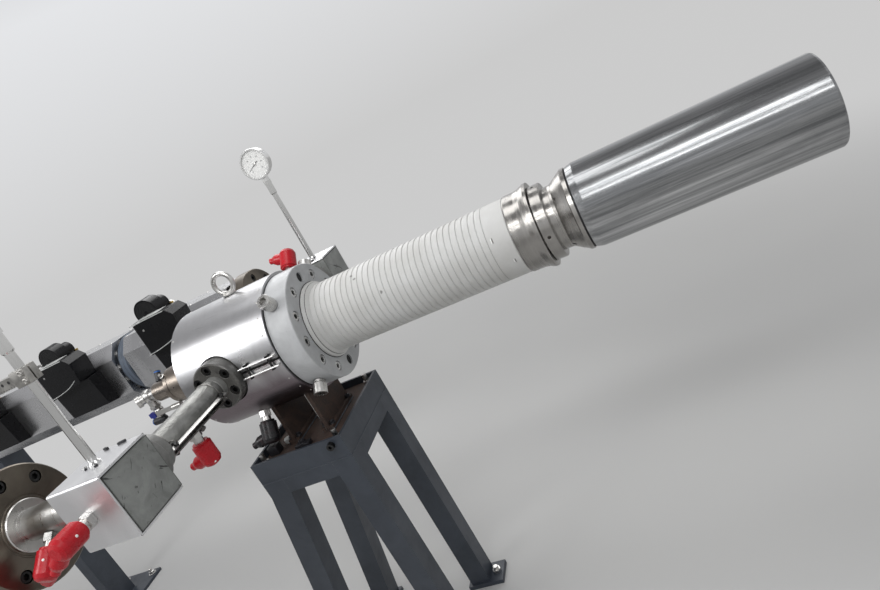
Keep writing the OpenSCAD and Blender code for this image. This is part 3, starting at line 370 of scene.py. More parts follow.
mats = {
    "sheet": brushed("polished_sheet", (0.60, 0.60, 0.61), 0.26, grain=(1, 0.2, 0.2), scale=800.0,
                     smear=5.0, stain=0.08),
    "dull_sheet": brushed("dull_sheet", (0.33, 0.33, 0.316), 0.38, grain=(1, 0.5, 0.5),
                          scale=240.0, smear=34.0, stain=0.5, depth=0.0012),
    "bright": brushed("bright_steel", (0.62, 0.61, 0.59), 0.28, scale=500.0, smear=30.0,
                      stain=0.28),
    "dark": brushed("dark_steel", (0.055, 0.055, 0.055), 0.40, scale=400.0, smear=40.0, stain=0.4),
    "screw": brushed("screw_grey", (0.66, 0.66, 0.65), 0.36, scale=400.0, smear=60.0, stain=0.5),
    "turned": turned("machined_steel", (0.42, 0.405, 0.385), 0.22, stain=0.5),
    "iron": brushed("head_steel", (0.20, 0.19, 0.18), 0.55, scale=300.0, smear=12.0, stain=0.4,
                    depth=0.0001),
    "oiled": turned("oiled_steel", (0.20, 0.175, 0.145), 0.32, depth=0.00004, stain=0.65),
    "neck": turned("neck_steel", (0.62, 0.61, 0.59), 0.30, stain=0.3),
    "clamp": brushed("clamp_steel", (0.40, 0.39, 0.37), 0.42, scale=300.0, smear=50.0, stain=0.45,
                     depth=0.0002),
    "grey": painted("grey_paint", (0.53, 0.54, 0.55), 0.38, wear=0.4, dirt=0.24),
    "cover": brushed("adapter_sheet", (0.80, 0.80, 0.81), 0.40, grain=(1, 0.3, 0.3), scale=600.0,
                     smear=7.0, stain=0.12),
    "lip": brushed("bright_lip", (0.85, 0.85, 0.84), 0.34, grain=(0.2, 1, 1), scale=500.0,
                   smear=40.0, stain=0.1),
    "feed": painted("greasy_grey", (0.125, 0.122, 0.114), 0.26, bare=(0.46, 0.45, 0.43), wear=1.0,
                    dirt=0.75, scale=34.0),
    "pipe": painted("pipe_grey", (0.26, 0.26, 0.25), 0.36, bare=(0.50, 0.49, 0.47), wear=0.8,
                    dirt=0.45, scale=30.0),
    "stand": painted("stand_paint", (0.048, 0.058, 0.076), 0.42, bare=(0.17, 0.175, 0.19),
                     wear=0.7, dirt=0.35, scale=9.0),
    "blue_grey": painted("blue_grey_paint", (0.10, 0.125, 0.165), 0.38, wear=0.5, dirt=0.4),
    "black": painted("black_paint", (0.007, 0.007, 0.008), 0.22, bare=(0.05, 0.05, 0.055),
                     wear=0.4, dirt=0.3, scale=16.0, shine=0.22),
    "plastic": painted("black_plastic", (0.018, 0.018, 0.022), 0.34, bare=(0.05, 0.05, 0.055),
                       wear=0.3, dirt=0.2, scale=30.0),
    "rubber": painted("black_rubber", (0.02, 0.02, 0.022), 0.60, bare=(0.05, 0.05, 0.05),
                      wear=0.2, dirt=0.3, scale=30.0),
    "brass": brushed("brass_fitting", (0.60, 0.43, 0.15), 0.30, scale=500.0, smear=40.0,
                     stain=0.3),
    "jacket": jacket_sheet(),
    "chrome": mandrel_steel(),
    "lever": two_tone("lever_and_grip", (0.02, 0.03, 0.20), (0.55, 0.54, 0.52), 0.28, None,
                      P(-626, 0, 0).x, P(-625, 0, 0).x, metal=(0.0, 1.0)),
    "block": scuffed(),
    "white": white_coat(),
    "bronze": heat_tint(),
    "rust": rusty(),
    "red": two_tone("red_silicone", (0.012, 0.012, 0.014), (0.50, 0.011, 0.020), 0.24,
                    P(*BOOT), BOOT_INNER, BOOT_OUTER),
    "dial": plain_face("gauge_white", (0.97, 0.97, 0.95), 0.4),
    "pale": plain_face("pale_plate", (0.52, 0.53, 0.52), 0.4),
    "weld": painted("weld_bead", (0.055, 0.066, 0.085), 0.45, bare=(0.2, 0.2, 0.21), wear=0.8,
                    dirt=0.3, scale=60.0),
    "ink": plain_face("dial_ink", (0.36, 0.36, 0.37), 0.5),
    "needle": plain_face("needle_grey", (0.12, 0.12, 0.13), 0.5),
    "stem": plain_face("polished_tube", (0.74, 0.74, 0.73), 0.17, metal=1.0),
    "bezel": brushed("bezel_steel", (0.80, 0.80, 0.79), 0.22, scale=500.0, smear=8.0, stain=0.08),
    "blue": plain_face("fitting_blue", (0.03, 0.16, 0.55), 0.35),
    # Near-black fill; in the head's gaps, the flange holes, the cover folds and the clamp holes it
    # is painted shade
    "gap_black": plain_face("dark_gap", (0.015, 0.015, 0.015), 0.8),
    "glass": clear_glass(),
}

NODE_MATS = {
    "head_body": "iron", "heater_jacket": "jacket", "jacket_closure": "bright",
    "closure_clips": "dark", "head_flange": "grey", "flange_screws": "screw",
    "centring_bolts": "bright", "lifting_eye": "bright", "rear_hub": "bronze",
    "hub_screws": "dark", "water_tee": "bright", "valve_body": "bright", "valve_lever": "lever",
    "hose_fittings": "plastic", "ribbed_sleeve": "white", "smooth_collar": "white",
    "outer_lip": "turned", "inner_lip": "turned", "mandrel_cone": "turned",
    "seal_ring": "rubber", "cooling_mandrel": "chrome", "mandrel_cap": "turned",
    "stand_top_frame": "stand", "mounting_plate": "rust", "saddle_plates": "rust",
    "adjusting_bolts": "dark", "stand_bolts": "bright", "stand_rails": "stand",
    "front_legs": "stand", "back_legs": "stand", "stand_feet": "stand", "feed_flanges": "feed",
    "feed_flange_screws": "dark", "feed_pipes": "pipe", "pipe_covers": "dull_sheet",
    "cover_edges": "bright", "adapter_blocks": "block", "adapter_covers": "cover",
    "gauge_stems": "stem", "stem_clamps": "clamp", "pressure_gauges": "bezel",
    "gauge_faces": "dial", "plug_glands": "bright", "heater_plugs": "red", "neck_pipes": "neck",
    "barrel_flanges": "oiled", "barrel_flange_screws": "dark", "barrels": "iron",
    "zone_covers": "sheet", "cover_eyes": "bright", "thermocouples": "brass",
    "joint_flanges": "blue_grey", "blowers": "black", "blower_fans": "black",
    "barrel_posts": "stand", "barrel_feet": "stand", "barrel_end_flanges": "grey",
}
for node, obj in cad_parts.items():
    material = mats[NODE_MATS[node]].m
    if not obj.material_slots:
        obj.data.materials.append(material)
    for slot in obj.material_slots:
        slot.material = material

# ---------------------------------------------------------------- shapes
UP, NEAR, ALONG = (0, 0, 1), (0, -1, 0), (1, 0, 0)
ORIGIN = Matrix.Translation(P(0, 0, 0))     # for forms given in the same millimetres as P
SHARP = math.radians(32)                    # edges with a larger angle stay sharp


def turn(degrees, axis):
    return Matrix.Rotation(math.radians(degrees), 4, axis)


def facing(place, z, spin=0.0):
    """A matrix that puts a piece's foot at place with its Z along z."""
    look = Vector(z).to_track_quat("Z", "Y").to_matrix().to_4x4()
    return Matrix.Translation(place) @ look @ turn(spin, "Z")


def about_x(x, y=0):
    """A matrix that lays a turned form about a line along X at the axis' height."""
    return Matrix.Translation(P(x, y, 0)) @ turn(90, "Y")


def band(r, thick, wide):
    """The profile of a flat ring from its inner radius, in mm."""
    return [(r, 0), (r + thick, 0), (r + thick, wide), (r, wide), (r, 0)]


def disc(r, top, foot=0):
    """The profile of a closed disc, in mm."""
    return [(0, foot), (r, foot), (r, top), (0, top)]


def circle(n):
    return [(math.cos(2 * math.pi * k / n), math.sin(2 * math.pi * k / n)) for k in range(n)]


class Shape:
    """Collects closed forms and makes one piece of them.

    Points are in metres; profiles, radii and the corners of a slab are in millimetres.
    """

    def __init__(self):
        self.v, self.f = [], []

    def add(self, verts, faces, m=None):
        n = len(self.v)
        m = m or Matrix.Identity(4)
        self.v += [m @ Vector(v) for v in verts]
        self.f += [[n + i for i in f] for f in faces]

    def lathe(self, profile, m, n=32):
        """Turns points of radius and height about Z; closes the ends that reach the axis."""
        verts, rows = [], []
        for r, h in profile:
            if r == 0:
                rows.append([len(verts)])
                verts.append((0, 0, h / 1000))
            else:
                rows.append(list(range(len(verts), len(verts) + n)))
                verts += [(r / 1000 * x, r / 1000 * y, h / 1000) for x, y in circle(n)]
        faces = []
        for a, b in zip(rows, rows[1:]):
            for k in range(n):
                j = (k + 1) % n
                if len(a) == 1 and len(b) > 1:
                    faces.append([a[0], b[j], b[k]])
                elif len(b) == 1 and len(a) > 1:
                    faces.append([a[k], a[j], b[0]])
                elif len(a) > 1:
                    faces.append([a[k], a[j], b[j], b[k]])
        self.add(verts, faces, m)

    def hex(self, r, h, m, washer=0.0):
        """A chamfered hexagon head, on a washer if one is asked for."""
        if washer:
            t = 2.2
            self.lathe([(0, 0), (washer, 0), (washer, t - 0.6), (washer - 0.6, t), (0, t)], m, 32)
            m = m @ Matrix.Translation((0, 0, t / 1000))
        c = r * 0.13
        self.lathe([(0, 0), (r, 0), (r, h - c), (r - c * 1.6, h), (r * 0.55, h), (r * 0.5, h - c),
                    (0, h - c)], m, 6)

    def slab(self, low, high, r=1.0, m=None):
        """A block with rounded edges between two corners."""
        bm = bmesh.new()
        bmesh.ops.create_cube(bm, size=1)
        low, high = Vector(low), Vector(high)
        for v in bm.verts:
            v.co = Vector(low[i] + (v.co[i] + 0.5) * (high[i] - low[i]) for i in range(3)) / 1000
        bmesh.ops.bevel(bm, geom=list(bm.edges), offset=r / 1000, segments=2, profile=0.5,
                        affect="EDGES")
        bm.verts.index_update()
        self.add([v.co.copy() for v in bm.verts], [[v.index for v in f.verts] for f in bm.faces], m)
        bm.free()

    def tube(self, points, r, n=10):
        """A round rod along points."""
        pts = [Vector(p) for p in points]
        verts, faces, side = [], [], None
        for i, p in enumerate(pts):
            t = (pts[min(i + 1, len(pts) - 1)] - pts[max(i - 1, 0)]).normalized()
            if side is None:
                side = t.orthogonal().normalized()
            side = (side - t * side.dot(t)).normalized()
            up = t.cross(side)
            verts += [p + (side * x + up * y) * r / 1000 for x, y in circle(n)]
            if i:
                a, b = (i - 1) * n, i * n
                faces += [[a + k, a + (k + 1) % n, b + (k + 1) % n, b + k] for k in range(n)]
        faces += [list(range(n))[::-1], [len(verts) - n + k for k in range(n)]]
        self.add(verts, faces)

    def piece(self, name, mat, slot=None, body="machine"):
        mesh = bpy.data.meshes.new(name)
        mesh.from_pydata(self.v, [], self.f)
        bm = bmesh.new()
        bm.from_mesh(mesh)
        bmesh.ops.recalc_face_normals(bm, faces=bm.faces)
        for e in bm.edges:
            if len(e.link_faces) == 2 and e.calc_face_angle(0) > SHARP:
                e.smooth = False
        for f in bm.faces:
            f.smooth = True
        bm.to_mesh(mesh)
        bm.free()
        mesh.materials.append(mats[mat].m)
        obj = bpy.data.objects.new(name, mesh)
        bpy.context.scene.collection.objects.link(obj)
        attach(obj, body)
        return obj


def bent(points, steps=6):
    """A smooth run through points in metres, with so many steps between two of them."""
    pts = [Vector(p) for p in points]
    run = []
    for i in range(len(pts) - 1):
        a, b, c, d = pts[max(i - 1, 0)], pts[i], pts[i + 1], pts[min(i + 2, len(pts) - 1)]
        for k in range(steps):
            t = k / steps
            run.append(0.5 * (2 * b + (c - a) * t + (2 * a - 5 * b + 4 * c - d) * t * t
                              + (3 * b - a - 3 * c + d) * t ** 3))
    return run + [pts[-1]]


# ---------------------------------------------------------------- gauges
FIRST_MARK = 225        # where a dial's first mark stands, in degrees from the right
NEEDLE_TURN = 205
FACE_T = 0.002          # thickness of a dial, in metres
NUMBER_R = 0.027        # radius of the circle that the numbers stand on, in metres

marks, circles, needles, glasses, hubs = (Shape() for _ in range(5))
low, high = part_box("gauge_faces")
face_y = {"near": low.y, "far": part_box("gauge_faces")[1].y - FACE_T}
dial_x, dial_z = (low.x + high.x) / 2, (low.z + high.z) / 2
for which, y in face_y.items():
    at = Vector((dial_x, y, dial_z))
    dial = Matrix.Translation(at) @ turn(90, "X")
    for i in range(31):
        big = i % 5 == 0
        half = 0.4 if big else 0.2
        marks.slab((36 if big else 39, -half, -0.1), (42, half, 0.2), 0.08,
                   dial @ turn(FIRST_MARK - 9 * i, "Z"))
    circles.lathe([(43.0, 0), (43.0, 0.2), (43.4, 0.2), (43.4, 0)], dial, 96)
    needles.add([(-0.014, -0.0016, 0.0012), (0.034, -0.0003, 0.0012), (0.034, 0.0003, 0.0012),
                 (-0.014, 0.0016, 0.0012), (-0.014, -0.0016, 0.0020), (0.034, -0.0003, 0.0018),
                 (0.034, 0.0003, 0.0018), (-0.014, 0.0016, 0.0020)],
                [[3, 2, 1, 0], [4, 5, 6, 7], [0, 1, 5, 4], [1, 2, 6, 5], [2, 3, 7, 6],
                 [3, 0, 4, 7]], dial @ turn(NEEDLE_TURN, "Z"))
    hubs.lathe([(0, 0), (5, 0), (5, 2), (3.5, 3), (0, 3)], dial, 24)
    glasses.lathe([(0, 3.2), (46.5, 3.0), (46.5, 3.8), (0, 4.0)], dial, 96)
    for i in range(7):
        a = math.radians(FIRST_MARK - 45 * i)
        text = bpy.data.curves.new(f"digit_{which}_{i}", "FONT")
        text.body = str(i * 10)
        text.size, text.align_x, text.align_y, text.extrude = 0.0068, "CENTER", "CENTER", 0.0001
        text.materials.append(mats["ink"].m)
        obj = bpy.data.objects.new(f"dial_number_{which}_{i}", text)
        bpy.context.scene.collection.objects.link(obj)
        obj.location = at + Vector((math.cos(a) * NUMBER_R, -0.0004, math.sin(a) * NUMBER_R))
        obj.rotation_euler = (math.radians(90), 0, 0)
        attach(obj, "machine")
marks.piece("dial_marks", "ink", "gauge_white")
circles.piece("dial_rings", "ink", "gauge_white")
needles.piece("gauge_needles", "needle", "black_plastic")
hubs.piece("needle_hubs", "bright", "bright_steel")
glasses.piece("gauge_glasses", "glass", "gauge_white")

# ---------------------------------------------------------------- head
SCREW_CIRCLE = 0.1275   # radius of the flange screws' circle, in metres
JACKET_R = 0.165        # radius of the heater jacket, in metres
JACKET_SEAM_R = 0.1655  # and where its seam lies
CLOSURE_Y = -175.6      # outer face of the jacket's closure, in mm


def spoke(angle):
    """The direction out from the head's axis, turned from straight up towards the near side."""
    a = math.radians(angle)
    return Vector((0, -math.sin(a), math.cos(a)))


# Painted shade: dark lines where the jacket and the sleeve's foot meet their neighbours
joints = Shape()
for x, r, thick, wide in ((-70.0, 156.6, 1.3, 0.8), (0.05, 104.05, 1.5, 1.2),
                          (10.2, 99.05, 0.4, 1.2)):
    joints.lathe(band(r, thick, wide), about_x(x), 96)
joints.piece("head_joint_shade", "gap_black", "black_rubber")

# The two ribs next to the sleeve's foot
ribs = Shape()
for x in (21.5, 37.5):
    ribs.lathe([(90.2, 0), (91.4, 0.2), (92, 0.9), (92, 11.6), (91.4, 12.3), (90.2, 12.5),
                (90.2, 0)], about_x(x), 128)
ribs.piece("first_ribs", "white", "white_coat")

# Painted shade: the dark gap round each screw of the flange, the socket's floor, and the two empty
# holes
depths = Shape()
for k in range(12):
    out = spoke(-30 * k) * SCREW_CIRCLE
    if k % 6:
        depths.lathe(band(12.1, 1.3, 0.6), facing(P(-4, 0, 0) + out, ALONG), 32)
        depths.lathe(disc(6.0, 0.6), facing(P(-6, 0, 0) + out, ALONG), 24)
    else:
        depths.lathe(disc(13.4, 0.6), facing(P(-5, 0, 0) + out, ALONG), 32)
depths.piece("flange_hole_shade", "gap_black", "dark_steel")

# Rivets round both ends of the jacket, clear of its sides
rivets = Shape()
for x in (-84, -362):
    for k in range(24):
        out = spoke(15 * k + 7)
        if abs(out.z) < 0.2:
            continue
        rivets.lathe([(0, -0.5), (2.6, -0.5), (2.6, 0.2), (1.6, 1.0), (0, 1.2)],
                     facing(P(x, 0, 0) + out * JACKET_R, out), 12)
rivets.piece("jacket_rivets", "bright", "polished_sheet")

edges = Shape()
for z in (-13.5, 13.5):
    edges.tube([P(-181, CLOSURE_Y, z), P(-72.5, CLOSURE_Y, z)], 1.9, 12)
edges.piece("closure_edges", "lip", "polished_sheet")

seam = Shape()
seam.slab((-148, -13, -0.8), (148, 13, 0.7), 0.4,
          facing(P(-220, 0, 0) + spoke(180) * JACKET_SEAM_R, spoke(180)))
seam.piece("jacket_seam", "jacket", "polished_sheet")

# Blue rings on the two push-in hose fittings
rings = Shape()
rings.lathe([(8.2, 0), (10.6, 0), (10.9, 2.6), (8.2, 3.6)],
            facing(P(-669.5, 0, -81.3), (-1, 0, 0)), 32)
out = spoke(-28)
rings.lathe([(7.2, 0), (9.2, 0), (9.5, 3.0), (7.2, 3.8)],
            facing(P(-583, 0, 0) + out * 0.0545, out), 32)
rings.piece("fitting_rings", "blue", "black_plastic")

# A plug with a pin on the hub's upper side, and a screw head lower down
plugs = Shape()
vent = facing(P(-521, -31, 42), (0, -0.6, 0.8))
plugs.hex(7.5, 7, vent)
plugs.lathe([(0, 7), (4, 7), (4, 15), (3, 16), (0, 16)], vent, 16)
plugs.hex(9, 6, facing(P(-448, -40, -36), (-1, 0, 0)))
plugs.piece("hub_plug", "bright", "bright_steel")

# Two worn notches on the collar: dark patches that are partly bare steel and partly painted shade,
# each with a white strip that is a painted highlight
for name, mat, off in (("collar_marks", "iron", 0.0), ("collar_mark_highlights", "dial", 2.6)):
    mark = Shape()
    for x, angle, long in ((510, 69.6, 12), (538, 108.4, 9)):
        mark.slab((-1.2 - off, -long / 2, -0.3), (1.2 - off, long / 2, 0.25), 0.2,
                  facing(P(x, 0, 0) + spoke(angle) * 0.092, spoke(angle)))
    mark.piece(name, mat, "white_coat")

# ---------------------------------------------------------------- feed branches
WIRE_R = 0.0332         # radius of the wires round the pipe covers, in metres
COVER_X = FEED + 67     # front edges of the adapter's sheet cover
COVER_Z = 68.3          # and its upper and lower edges
ADAPTER_TOP = 69        # top of the adapter above the axis

trim, ties, dots, clips, studs = (Shape() for _ in range(5))
for s in (-1, 1):
    for y, r in ((440, 1.1), (444, 1.1), (232, 0.9)):
        loop = [P(FEED, s * y, 0) + Vector((math.cos(a), 0, math.sin(a))) * WIRE_R
                for a in [math.radians(12 * i) for i in range(31)]]
        ties.tube(loop, r, 8)
    # The twisted end of the wire
    ties.tube(bent([P(FEED + 33, s * 442, 2), P(FEED + 42, s * 440, 6), P(FEED + 46, s * 434, 0),
                    P(FEED + 40, s * 430, -6)]), 1.1, 8)
    # Painted shade: dark lines along the folded edges of the sheet cover
    for z in (-1, 1):
        trim.tube([P(COVER_X, s * 510, z * COVER_Z), P(COVER_X, s * 645, z * COVER_Z)], 0.9, 8)
        trim.tube([P(COVER_X, s * 646, -67 * z), P(COVER_X, s * 646, 0)], 0.9, 8)
    # Clips round the foot of the gauge stem, and two more on the cover
    for dx, dy in ((-17, -9), (13, -12), (-6, 15)):
        clips.slab((-3.5, -2.2, 0), (3.5, 2.2, 3.4), 0.5,
                   facing(P(FEED + dx, s * BARREL + dy, ADAPTER_TOP), UP, 35 * dx))
    for x, y, half, spin in ((20, 520, 9, 12), (-22, 522, 7, -20)):
        clips.slab((-half, -3, 0), (half, 3, 5), 0.8,
                   facing(P(FEED + x, s * y, ADAPTER_TOP), UP, spin))
    # Terminal above the plug of the feed pipe
    studs.lathe([(0, 0), (7, 0), (7, 8), (5, 10), (0, 10)],
                facing(P(FEED + 13, s * 322, -34), (0.6, 0, -0.8)), 20)
ties.piece("pipe_cover_wires", "clamp", "dull_sheet")
trim.piece("cover_fold_shade", "gap_black", "black_rubber")
clips.piece("stem_foot_clips", "plastic", "black_plastic")
studs.piece("plug_terminals", "iron", "head_steel")

# A pale screw on each boot
for s in (-1, 1):
    for (x, y, z), (along, out, up) in (((-235, 703, 4), (0.98, 0, 0.17)),
                                        ((-415, 658, -42), (0.49, 0.56, 0.67)),
                                        ((-233, 349, -113), (0.74, 0.47, -0.48))):
        dots.lathe([(0, -2), (2.6, -2), (2.6, 0.5), (1.8, 1.2), (0, 1.3)],
                   facing(P(x, s * y, z), (along, s * out, up)), 16)
dots.piece("boot_screws", "dial", "bright_steel")

# The clamp on the near stem: a split block and a bar with a toothed lower edge.
# The far stem is bare in the photograph, so this piece stands for the node.
low, high = mm("stem_clamps")
clamp = Shape()
here = Matrix.Translation(P(FEED, low.y + 15, (low.z + high.z) / 2))
for a, b in ((-15, -1.2), (1.2, 15)):
    clamp.slab((-18, a, -16), (18, b, 16), 1.6, here)
clamp.slab((-18, -4, -15), (-10, 4, 15), 1.0, here)
end = low.x - FEED
outline = [(-16, 10.5), (end + 1, 10.5), (end, 9.5), (end, -7)]
for k in range(14):
    x = end + 2 + k * 7
    outline += [(x, -11), (x + 3.5, -11), (x + 4.5, -7.5), (x + 6, -7.5)]
outline += [(-16, -10.5)]
n = len(outline)
clamp.add([(x / 1000, y, z / 1000) for y in (-0.010, 0.010) for x, z in outline],
          [list(range(n))[::-1], list(range(n, 2 * n))]
          + [[k, (k + 1) % n, n + (k + 1) % n, n + k] for k in range(n)], here)
for z in (-8, 8):
    clamp.hex(6.2, 5, here @ Matrix.Translation((0.012, -0.015, z / 1000)) @ turn(90, "X"))
block = clamp.piece("stem_clamp_bar", "clamp", "machined_steel")
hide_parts("stem_clamps")
# Painted shade: dark discs in the bar's five holes
pits = Shape()
for k in range(5):
    hole = here @ Matrix.Translation(((-34 - 17 * k) / 1000, -0.010, 0.002)) @ turn(90, "X")
    pits.lathe(disc(3.2, 0.15, -0.2), hole, 20)
pits.piece("clamp_bar_hole_shade", "gap_black", "machined_steel")

# ---------------------------------------------------------------- barrels
ZONES = ((-1087, -572), (-2066.85, -1147.3))    # from and to along the axis
BLOWERS = (-901, -1420, -1939)                  # where each blower's box starts along it
BLOWER_OUT = 209        # from the barrel's axis to a box's near face
BLOWER_LID = 160.6      # top of a box above the axis
FAN_OUT = 114.8         # from the barrel's axis to a fan's near face
FAN_X, FAN_Z = 15, 168          # a fan's middle, from where its box starts and the axis
FLANGE_BOLT_R = 100     # radius of the bolts' circle on the joint flanges
COVER_TOP = 118         # top of the zone covers above the axis
POST_X = -2106.85
WELD_X, WELD_Y = 31, 61         # where the welds run, from the middle of the post
FOOT_TOP = 0.014        # top of the post's foot plate above the floor, in metres
PAN_HEAD = [(0, -0.5), (5, -0.5), (5, 0.6), (3.2, 2.2), (0, 2.4)]

bolts, seams, screws, rims, plates, cable, nuts, beads = (Shape() for _ in range(8))
for s in (-1, 1):
    c = s * BARREL
    for x, way in ((-1097, 1), (-1137.3, -1)):
        for k in range(12):
            a = math.radians(30 * k + 15)
            bolts.hex(11, 8, facing(P(x, c + FLANGE_BOLT_R * math.sin(a),
                                      FLANGE_BOLT_R * math.cos(a)), (way, 0, 0), 20 * k), 14)
    for x in (-1100, -1134):
        seams.lathe(band(118.0, 0.6, 1.2), about_x(x, c), 96)
    for x0, x1 in ZONES:
        n = round((x1 - x0) / 170)
        for k in range(n + 1):
            x = x0 + 12 + (x1 - x0 - 24) * k / n
            for y in (-62, 62):
                screws.lathe(PAN_HEAD, facing(P(x, c + y, COVER_TOP), UP), 16)
            screws.lathe(PAN_HEAD, facing(P(x, c + s * 119, 56), (0, s, 0)), 16)
        # Lapped seam on the top
        plates.slab((x0 + 3, c - 2.2, COVER_TOP - 0.4), (x1 - 3, c + 2.2, COVER_TOP + 0.5), 0.3,
                    ORIGIN)
    for x in BLOWERS:
        near = c - BLOWER_OUT
        # Lid edge, pale top plate, edge trim, screw and fan rings of each blower box
        corner = P(x + 2, near + 1.2, BLOWER_LID)
        rims.tube([corner, P(x + 160, near + 1.2, BLOWER_LID)], 1.7, 10)
        rims.tube([corner, P(x + 2, near + 88, BLOWER_LID)], 1.7, 10)
        plates.slab((x + 22, near + 30, BLOWER_LID), (x + 112, near + 86, BLOWER_LID + 2), 0.8,
                    ORIGIN)
        cable.tube(bent([P(x + 4, near + 1, 40), P(x + 60, near + 0.6, 45),
                         P(x + 120, near + 0.6, 56), P(x + 162, near + 1, 73)]), 1.6, 8)
        screws.lathe([(0, -0.5), (4, -0.5), (4, 0.3), (2.5, 0.6), (0, 0.7)],
                     facing(P(x + 45, near, 128), NEAR), 16)
        for k in range(6):
            seams.lathe(band(10 + 6 * k, 2, 0.5),
                        facing(P(x + FAN_X, c - FAN_OUT, FAN_Z), NEAR), 48)
    # Welds round the post's foot and anchor nuts in the corners of its plate
    sides = [((-WELD_X, y), (WELD_X, y)) for y in (-WELD_Y, WELD_Y)]
    sides += [((x, -WELD_Y), (x, WELD_Y)) for x in (-WELD_X, WELD_X)]
    for side in sides:
        ends = [P(POST_X + x, c + y, 0) for x, y in side]
        for end in ends:
            end.z = FOOT_TOP + 0.0005
        beads.tube(ends, 3.2, 10)
    for x in (-90, 90):
        for y in (-130, 130):
            at = P(POST_X + x, c + y, 0)
            at.z = FOOT_TOP
            nuts.hex(15, 12, facing(at, UP, 20), 19)
            nuts.lathe([(0, 0), (7.5, 0), (7.5, 26), (6, 28), (0, 28)], facing(at, UP), 20)
bolts.piece("joint_flange_bolts", "screw", "dark_steel")
seams.piece("dark_seams", "gap_black", "black_rubber")
screws.piece("cover_screws", "bright", "bright_steel")
rims.piece("blower_rims", "pale", "bright_steel")
plates.piece("cover_plates", "pale", "polished_sheet")
cable.piece("blower_edge_trims", "pale", "bright_steel")
nuts.piece("post_anchor_nuts", "bright", "bright_steel")
beads.piece("post_welds", "weld", "stand_paint")

# ---------------------------------------------------------------- stand
weld, hold, line, knobs = (Shape() for _ in range(4))
low, high = mm("stand_top_frame")
for y in (low.y, high.y):
    weld.tube([P(low.x + 3, y, low.z), P(high.x - 3, y, low.z)], 1.6, 8)
for x in (low.x, high.x):
    weld.tube([P(x, low.y + 3, low.z), P(x, high.y - 3, low.z)], 1.6, 8)
plate_top = mm("mounting_plate")[1].z
saddle_foot = mm("saddle_plates")[0].z
for x in (-136, -100, -248, -212):
    weld.tube([P(x, -80, plate_top + 1.2), P(x, 80, plate_top + 1.2)], 2.2, 8)
# Screws and clamps that hold the saddle plates, on both sides
for s in (-1, 1):
    for x in (-118, -230):
        for dx in (-12, 12):
            hold.hex(7.5, 6, facing(P(x + dx, s * 66, plate_top + 12), UP, 25), 9)
    hold.slab((-205, s * 118 - 11, plate_top), (-160, s * 118 + 11, plate_top + 12), 1.5, ORIGIN)
    hold.hex(9, 8, facing(P(-182, s * 118, plate_top + 12), UP, 10), 12)
    line.tube([P(-124, s * 80, saddle_foot + 4), P(-124, s * 80, -127)], 0.9, 8)
hold.slab((-300, -112, plate_top), (-268, -84, plate_top + 26), 2.0, ORIGIN)
hold.piece("plate_clamps", "plastic", "black_plastic")
knobs.lathe([(0, 0), (9, 0), (10, 3), (10, 12), (8, 15), (0, 16)],
            facing(P(-262, -60, plate_top), UP), 28)
knobs.tube([P(-284, -98, plate_top + 26), P(-284, -98, plate_top + 40)], 3, 12)
knobs.piece("plate_knob", "pale", "bright_steel")
weld.piece("stand_welds", "weld", "stand_paint")
line.piece("saddle_edges", "bright", "bright_steel")

# ---------------------------------------------------------------- floor and light
FLOOR_HALF = 30         # half the floor's width, in metres
FADE_FROM, FADE_TO = 1.7, 5.0       # metres from the model at which the floor turns even
FADED = (0.60, 0.60, 0.60, 1)       # what it turns to
WORLD_LIGHT, WORLD_SEEN = 0.45, 0.95    # the world's strength as light, and seen or mirrored

floor_mesh = bpy.data.meshes.new("floor")
corners = [(x * FLOOR_HALF, y * FLOOR_HALF, 0) for x, y in ((-1, -1), (1, -1), (1, 1), (-1, 1))]
floor_mesh.from_pydata(corners, [], [[0, 1, 2, 3]])
floor = bpy.data.objects.new("floor", floor_mesh)
bpy.context.scene.collection.objects.link(floor)
fm = Mat("floor_plain")
cloud = fm.noise(0.6, 3.0)
fm.set(fm.mix(fm.map(cloud, 0.3, 0.7), (0.60, 0.60, 0.59), (0.57, 0.57, 0.565)), 0.75, 0.0)
far_off = fm.node("ShaderNodeVectorMath", out="Value", links={0: fm.pos}, operation="LENGTH")
paths = fm.t.nodes.new("ShaderNodeLightPath").outputs
bare = fm.math("MAXIMUM", paths["Is Camera Ray"], fm.math("MULTIPLY", paths["Is Glossy Ray"], 0.6))
fade = fm.node("ShaderNodeMapRange", links={0: far_off, 1: FADE_FROM, 2: FADE_TO},
               interpolation_type="SMOOTHSTEP")
glow = fm.t.nodes.new("ShaderNodeEmission")
glow.inputs[0].default_value = FADED
blend = fm.t.nodes.new("ShaderNodeMixShader")
fm.t.links.new(fm.math("MULTIPLY", fade, bare), blend.inputs[0])
fm.t.links.new(fm.b.outputs[0], blend.inputs[1])
fm.t.links.new(glow.outputs[0], blend.inputs[2])
fm.t.links.new(blend.outputs[0], fm.t.nodes["Material Output"].inputs["Surface"])
floor_mesh.materials.append(fm.m)

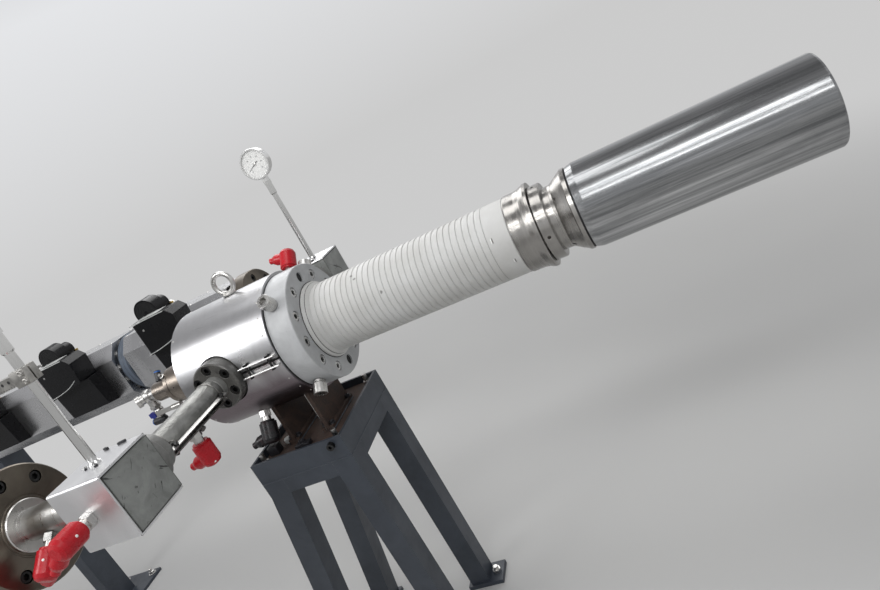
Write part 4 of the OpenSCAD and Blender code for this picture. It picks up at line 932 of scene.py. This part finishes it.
world = bpy.data.worlds.new("studio")
bpy.context.scene.world = world
world.use_nodes = True
tree = world.node_tree
back = tree.nodes["Background"]
sky = tree.nodes.new("ShaderNodeTexCoord")
height = tree.nodes.new("ShaderNodeSeparateXYZ")
tree.links.new(sky.outputs["Generated"], height.inputs[0])
ramp = tree.nodes.new("ShaderNodeValToRGB")
stops = ramp.color_ramp.elements
stops[0].position, stops[0].color = 0.0, (0.63, 0.63, 0.63, 1)
stops[1].position, stops[1].color = 0.30, (0.82, 0.83, 0.85, 1)
for place, tone in ((0.55, 0.52), (1.0, 0.26)):
    stops.new(place).color = (tone, tone, tone * 1.02, 1)
tree.links.new(height.outputs[2], ramp.inputs[0])
tree.links.new(ramp.outputs[0], back.inputs[0])
# Stronger where the world is seen or mirrored than where it only gives light
path = tree.nodes.new("ShaderNodeLightPath")
seen = tree.nodes.new("ShaderNodeMath")
seen.operation = "MAXIMUM"
tree.links.new(path.outputs["Is Camera Ray"], seen.inputs[0])
tree.links.new(path.outputs["Is Glossy Ray"], seen.inputs[1])
level = tree.nodes.new("ShaderNodeMapRange")
tree.links.new(seen.outputs[0], level.inputs[0])
level.inputs[3].default_value = WORLD_LIGHT
level.inputs[4].default_value = WORLD_SEEN
tree.links.new(level.outputs[0], back.inputs[1])


def lamp(name, place, aim, size, watts, tall=None):
    """A square area light, or a rectangular one if its height is given, in metres."""
    data = bpy.data.lights.new(name, "AREA")
    data.energy, data.size, data.shape = watts, size, "RECTANGLE"
    data.size_y = tall or size
    obj = bpy.data.objects.new(name, data)
    bpy.context.scene.collection.objects.link(obj)
    obj.location = place
    obj.rotation_mode = "QUATERNION"
    obj.rotation_quaternion = (Vector(aim) - Vector(place)).to_track_quat("-Z", "Y")


lamp("key", P(650, -2450, 2750), P(200, 0, 0), 3.2, 34, 0.5)
lamp("key_low", P(650, -2900, 2050), P(200, 0, 0), 3.2, 20, 0.28)
lamp("side", P(-2000, -1800, 1850), P(-200, -140, 80), 1.3, 34)
lamp("back", P(-1200, 2800, 2400), P(-400, 0, 0), 2.4, 50)
lamp("top", P(-300, 200, 3000), P(-400, 0, 0), 3.2, 38, 1.2)
